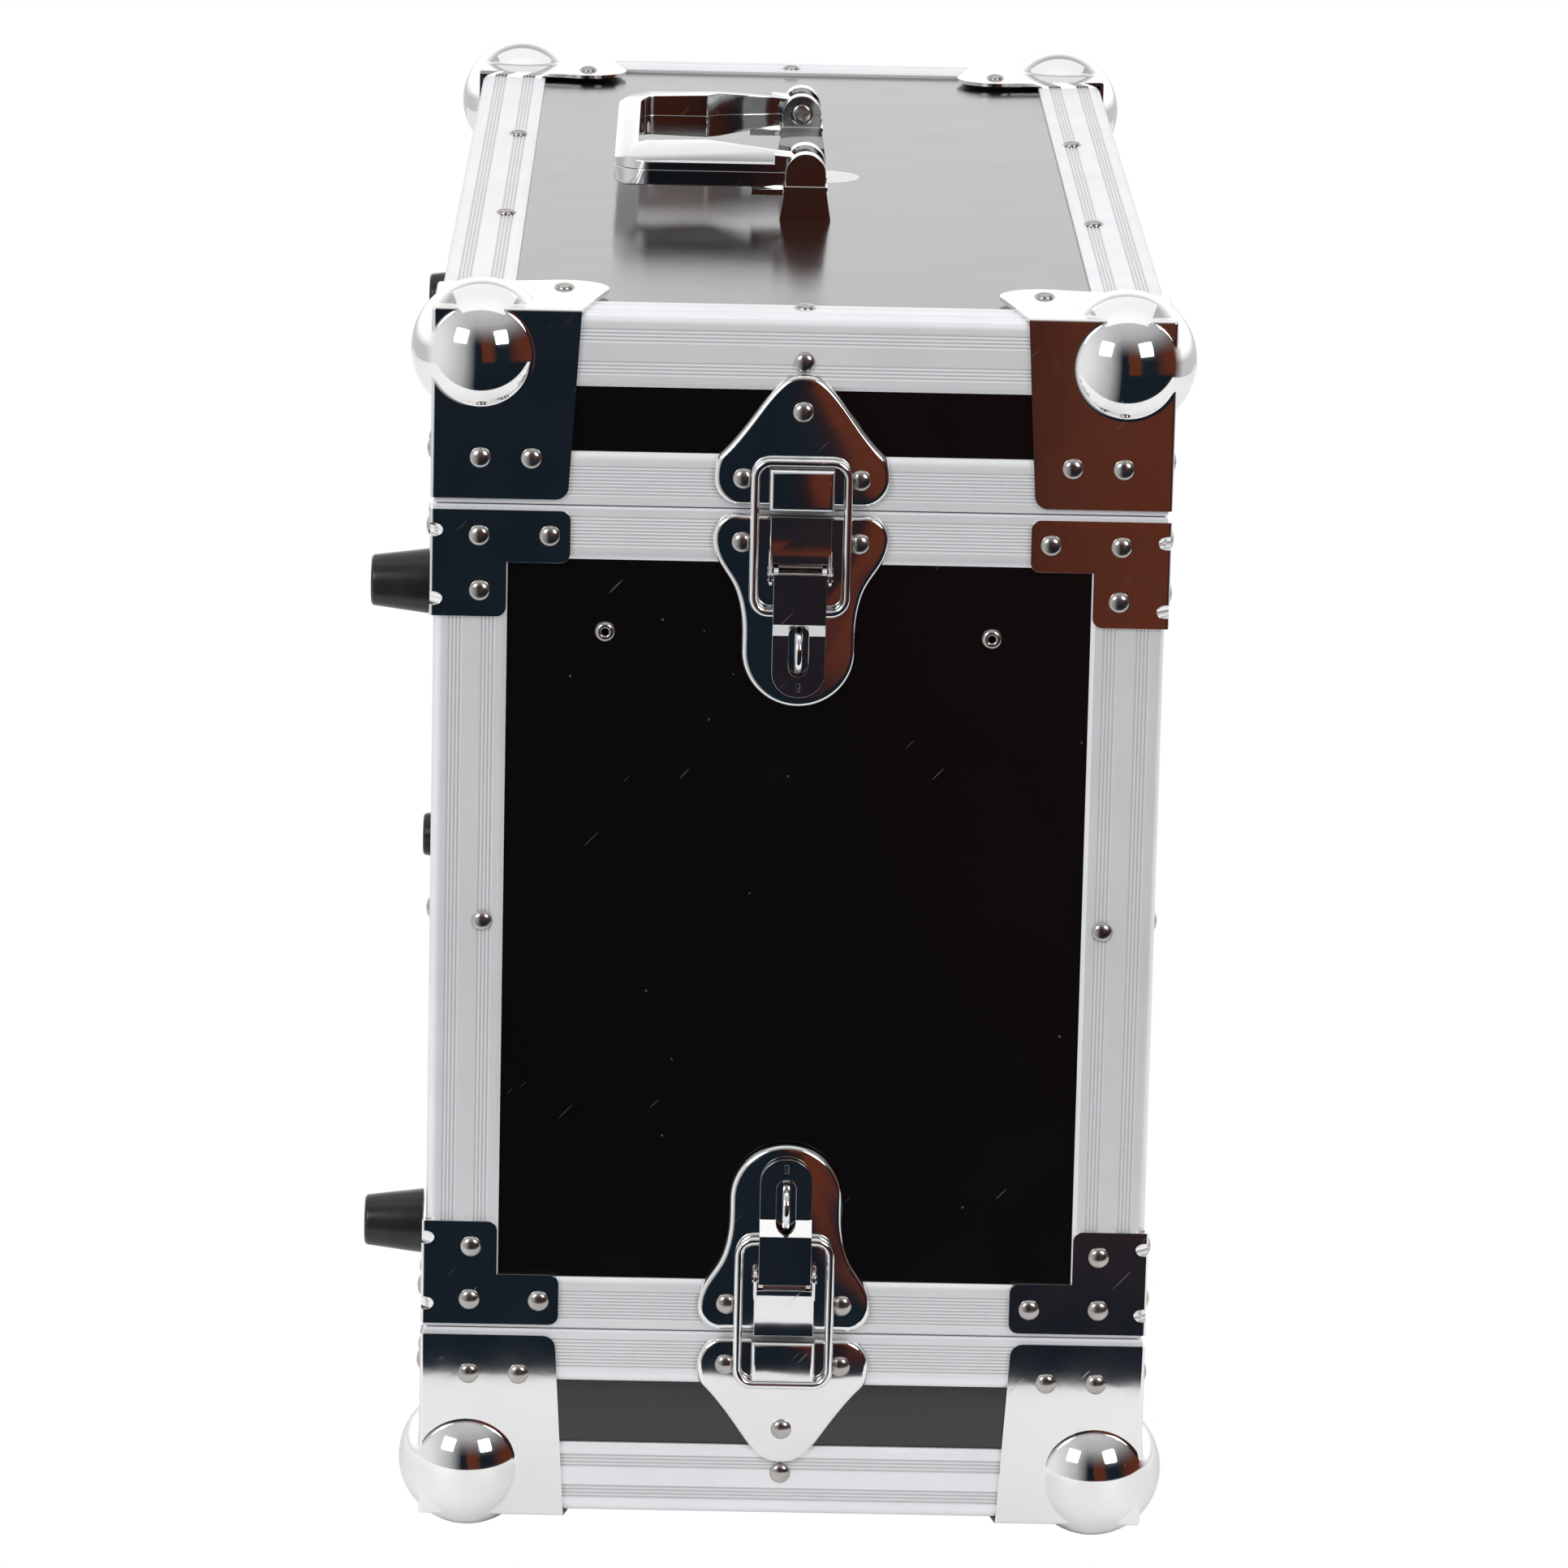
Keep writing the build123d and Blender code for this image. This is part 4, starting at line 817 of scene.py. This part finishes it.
navy, brown, dusk = (0.0035, 0.0066, 0.0105), (0.062, 0.015, 0.0072), (0.008, 0.006, 0.008)
white, grey, pale = (0.66, 0.66, 0.66), (0.2, 0.2, 0.2), (0.34, 0.34, 0.34)
over = tree.nodes.new("ShaderNodeMapRange")
for label, value in (("From Min", 0.03), ("From Max", 0.13), ("To Min", 0.0), ("To Max", 0.037)):
    over.inputs[label].default_value = value
tree.links.new(axes.outputs["Z"], over.inputs["Value"])
lean = figured(tree, "ADD", axes.outputs["X"], over.outputs["Result"])
room = ramp(lean, [
    (0.0, navy), (0.016, dusk), (0.035, dusk), (0.047, brown), (0.3, brown), (0.45, navy),
    (0.7, navy), (0.95, brown),
])
height = ramp(axes.outputs["Z"], [
    (-0.29, (0, 0, 0)), (-0.22, (1, 1, 1)), (0.2, (1, 1, 1)), (0.7, (0, 0, 0)),
])
sky = ramp(axes.outputs["Z"], [(-0.1, navy), (0.15, navy), (0.6, grey), (0.95, pale)])
left = ramp(axes.outputs["X"], [(-0.9, (1, 1, 1)), (-0.45, (0.7, 0.7, 0.7)), (-0.15, (0, 0, 0))])
paper = ramp(axes.outputs["X"], [(-1.0, (0.5, 0.5, 0.5)), (-0.4, pale)])
front = blend(tree, left, blend(tree, height, sky, room), paper)
behind = ramp(axes.outputs["Y"], [(-0.1, (0, 0, 0)), (0.25, (1, 1, 1))])
back = ramp(axes.outputs["Z"], [
    (-0.05, pale), (0.08, white), (0.45, white), (0.7, (0.28, 0.28, 0.28)),
])
seen = blend(tree, behind, front, back)

lit = either("Is Glossy Ray", background((1.0, 1.0, 1.0), 0.8), background(seen, 2.0))
shown = either("Is Camera Ray", lit, background((1.0, 1.0, 1.0), 1.0))
tree.links.new(shown, out.inputs["Surface"])


# Lamps. Two square softboxes stand left and right of the camera, a little above it, and a broad one
# hangs over the case.

for name, place, target, size, power in (
    ("left_softbox", (-1.5, -2.2, 1.5), (0, -0.2, 0.2), 1.0, 23),
    ("right_softbox", (1.4, -2.3, 1.5), (0, -0.2, 0.2), 1.0, 23),
    ("top_softbox", (0, 0.3, 2.2), (0, 0, 0.3), 2.4, 11),
):
    data = bpy.data.lights.new(name, "AREA")
    data.shape = "SQUARE"
    data.size = size
    data.energy = power
    lamp = bpy.data.objects.new(name, data)
    lamp.location = place
    lamp.rotation_mode = "QUATERNION"
    lamp.rotation_quaternion = (Vector(target) - Vector(place)).to_track_quat("-Z", "Y")
    bpy.context.scene.collection.objects.link(lamp)


# Camera. A long lens in front of the near end, above the top of the case and looking down a little.

data = bpy.data.cameras.new("camera")
data.sensor_width = 36.0
data.lens = 187.95
data.clip_end = 50.0
camera = bpy.data.objects.new("camera", data)
camera.location = (-27.634 * mm, -2650.218 * mm, 794.599 * mm)
pitch, yaw, roll = 0.229559, 0.012491, 0.02214
view_turn = Matrix.Rotation(-yaw, 4, "Z") @ Matrix.Rotation(math.pi / 2 - pitch, 4, "X")
camera.rotation_mode = "QUATERNION"
camera.rotation_quaternion = (view_turn @ Matrix.Rotation(roll, 4, "Z")).to_quaternion()
bpy.context.scene.collection.objects.link(camera)
bpy.context.scene.camera = camera
bpy.context.scene.view_settings.view_transform = "Standard"
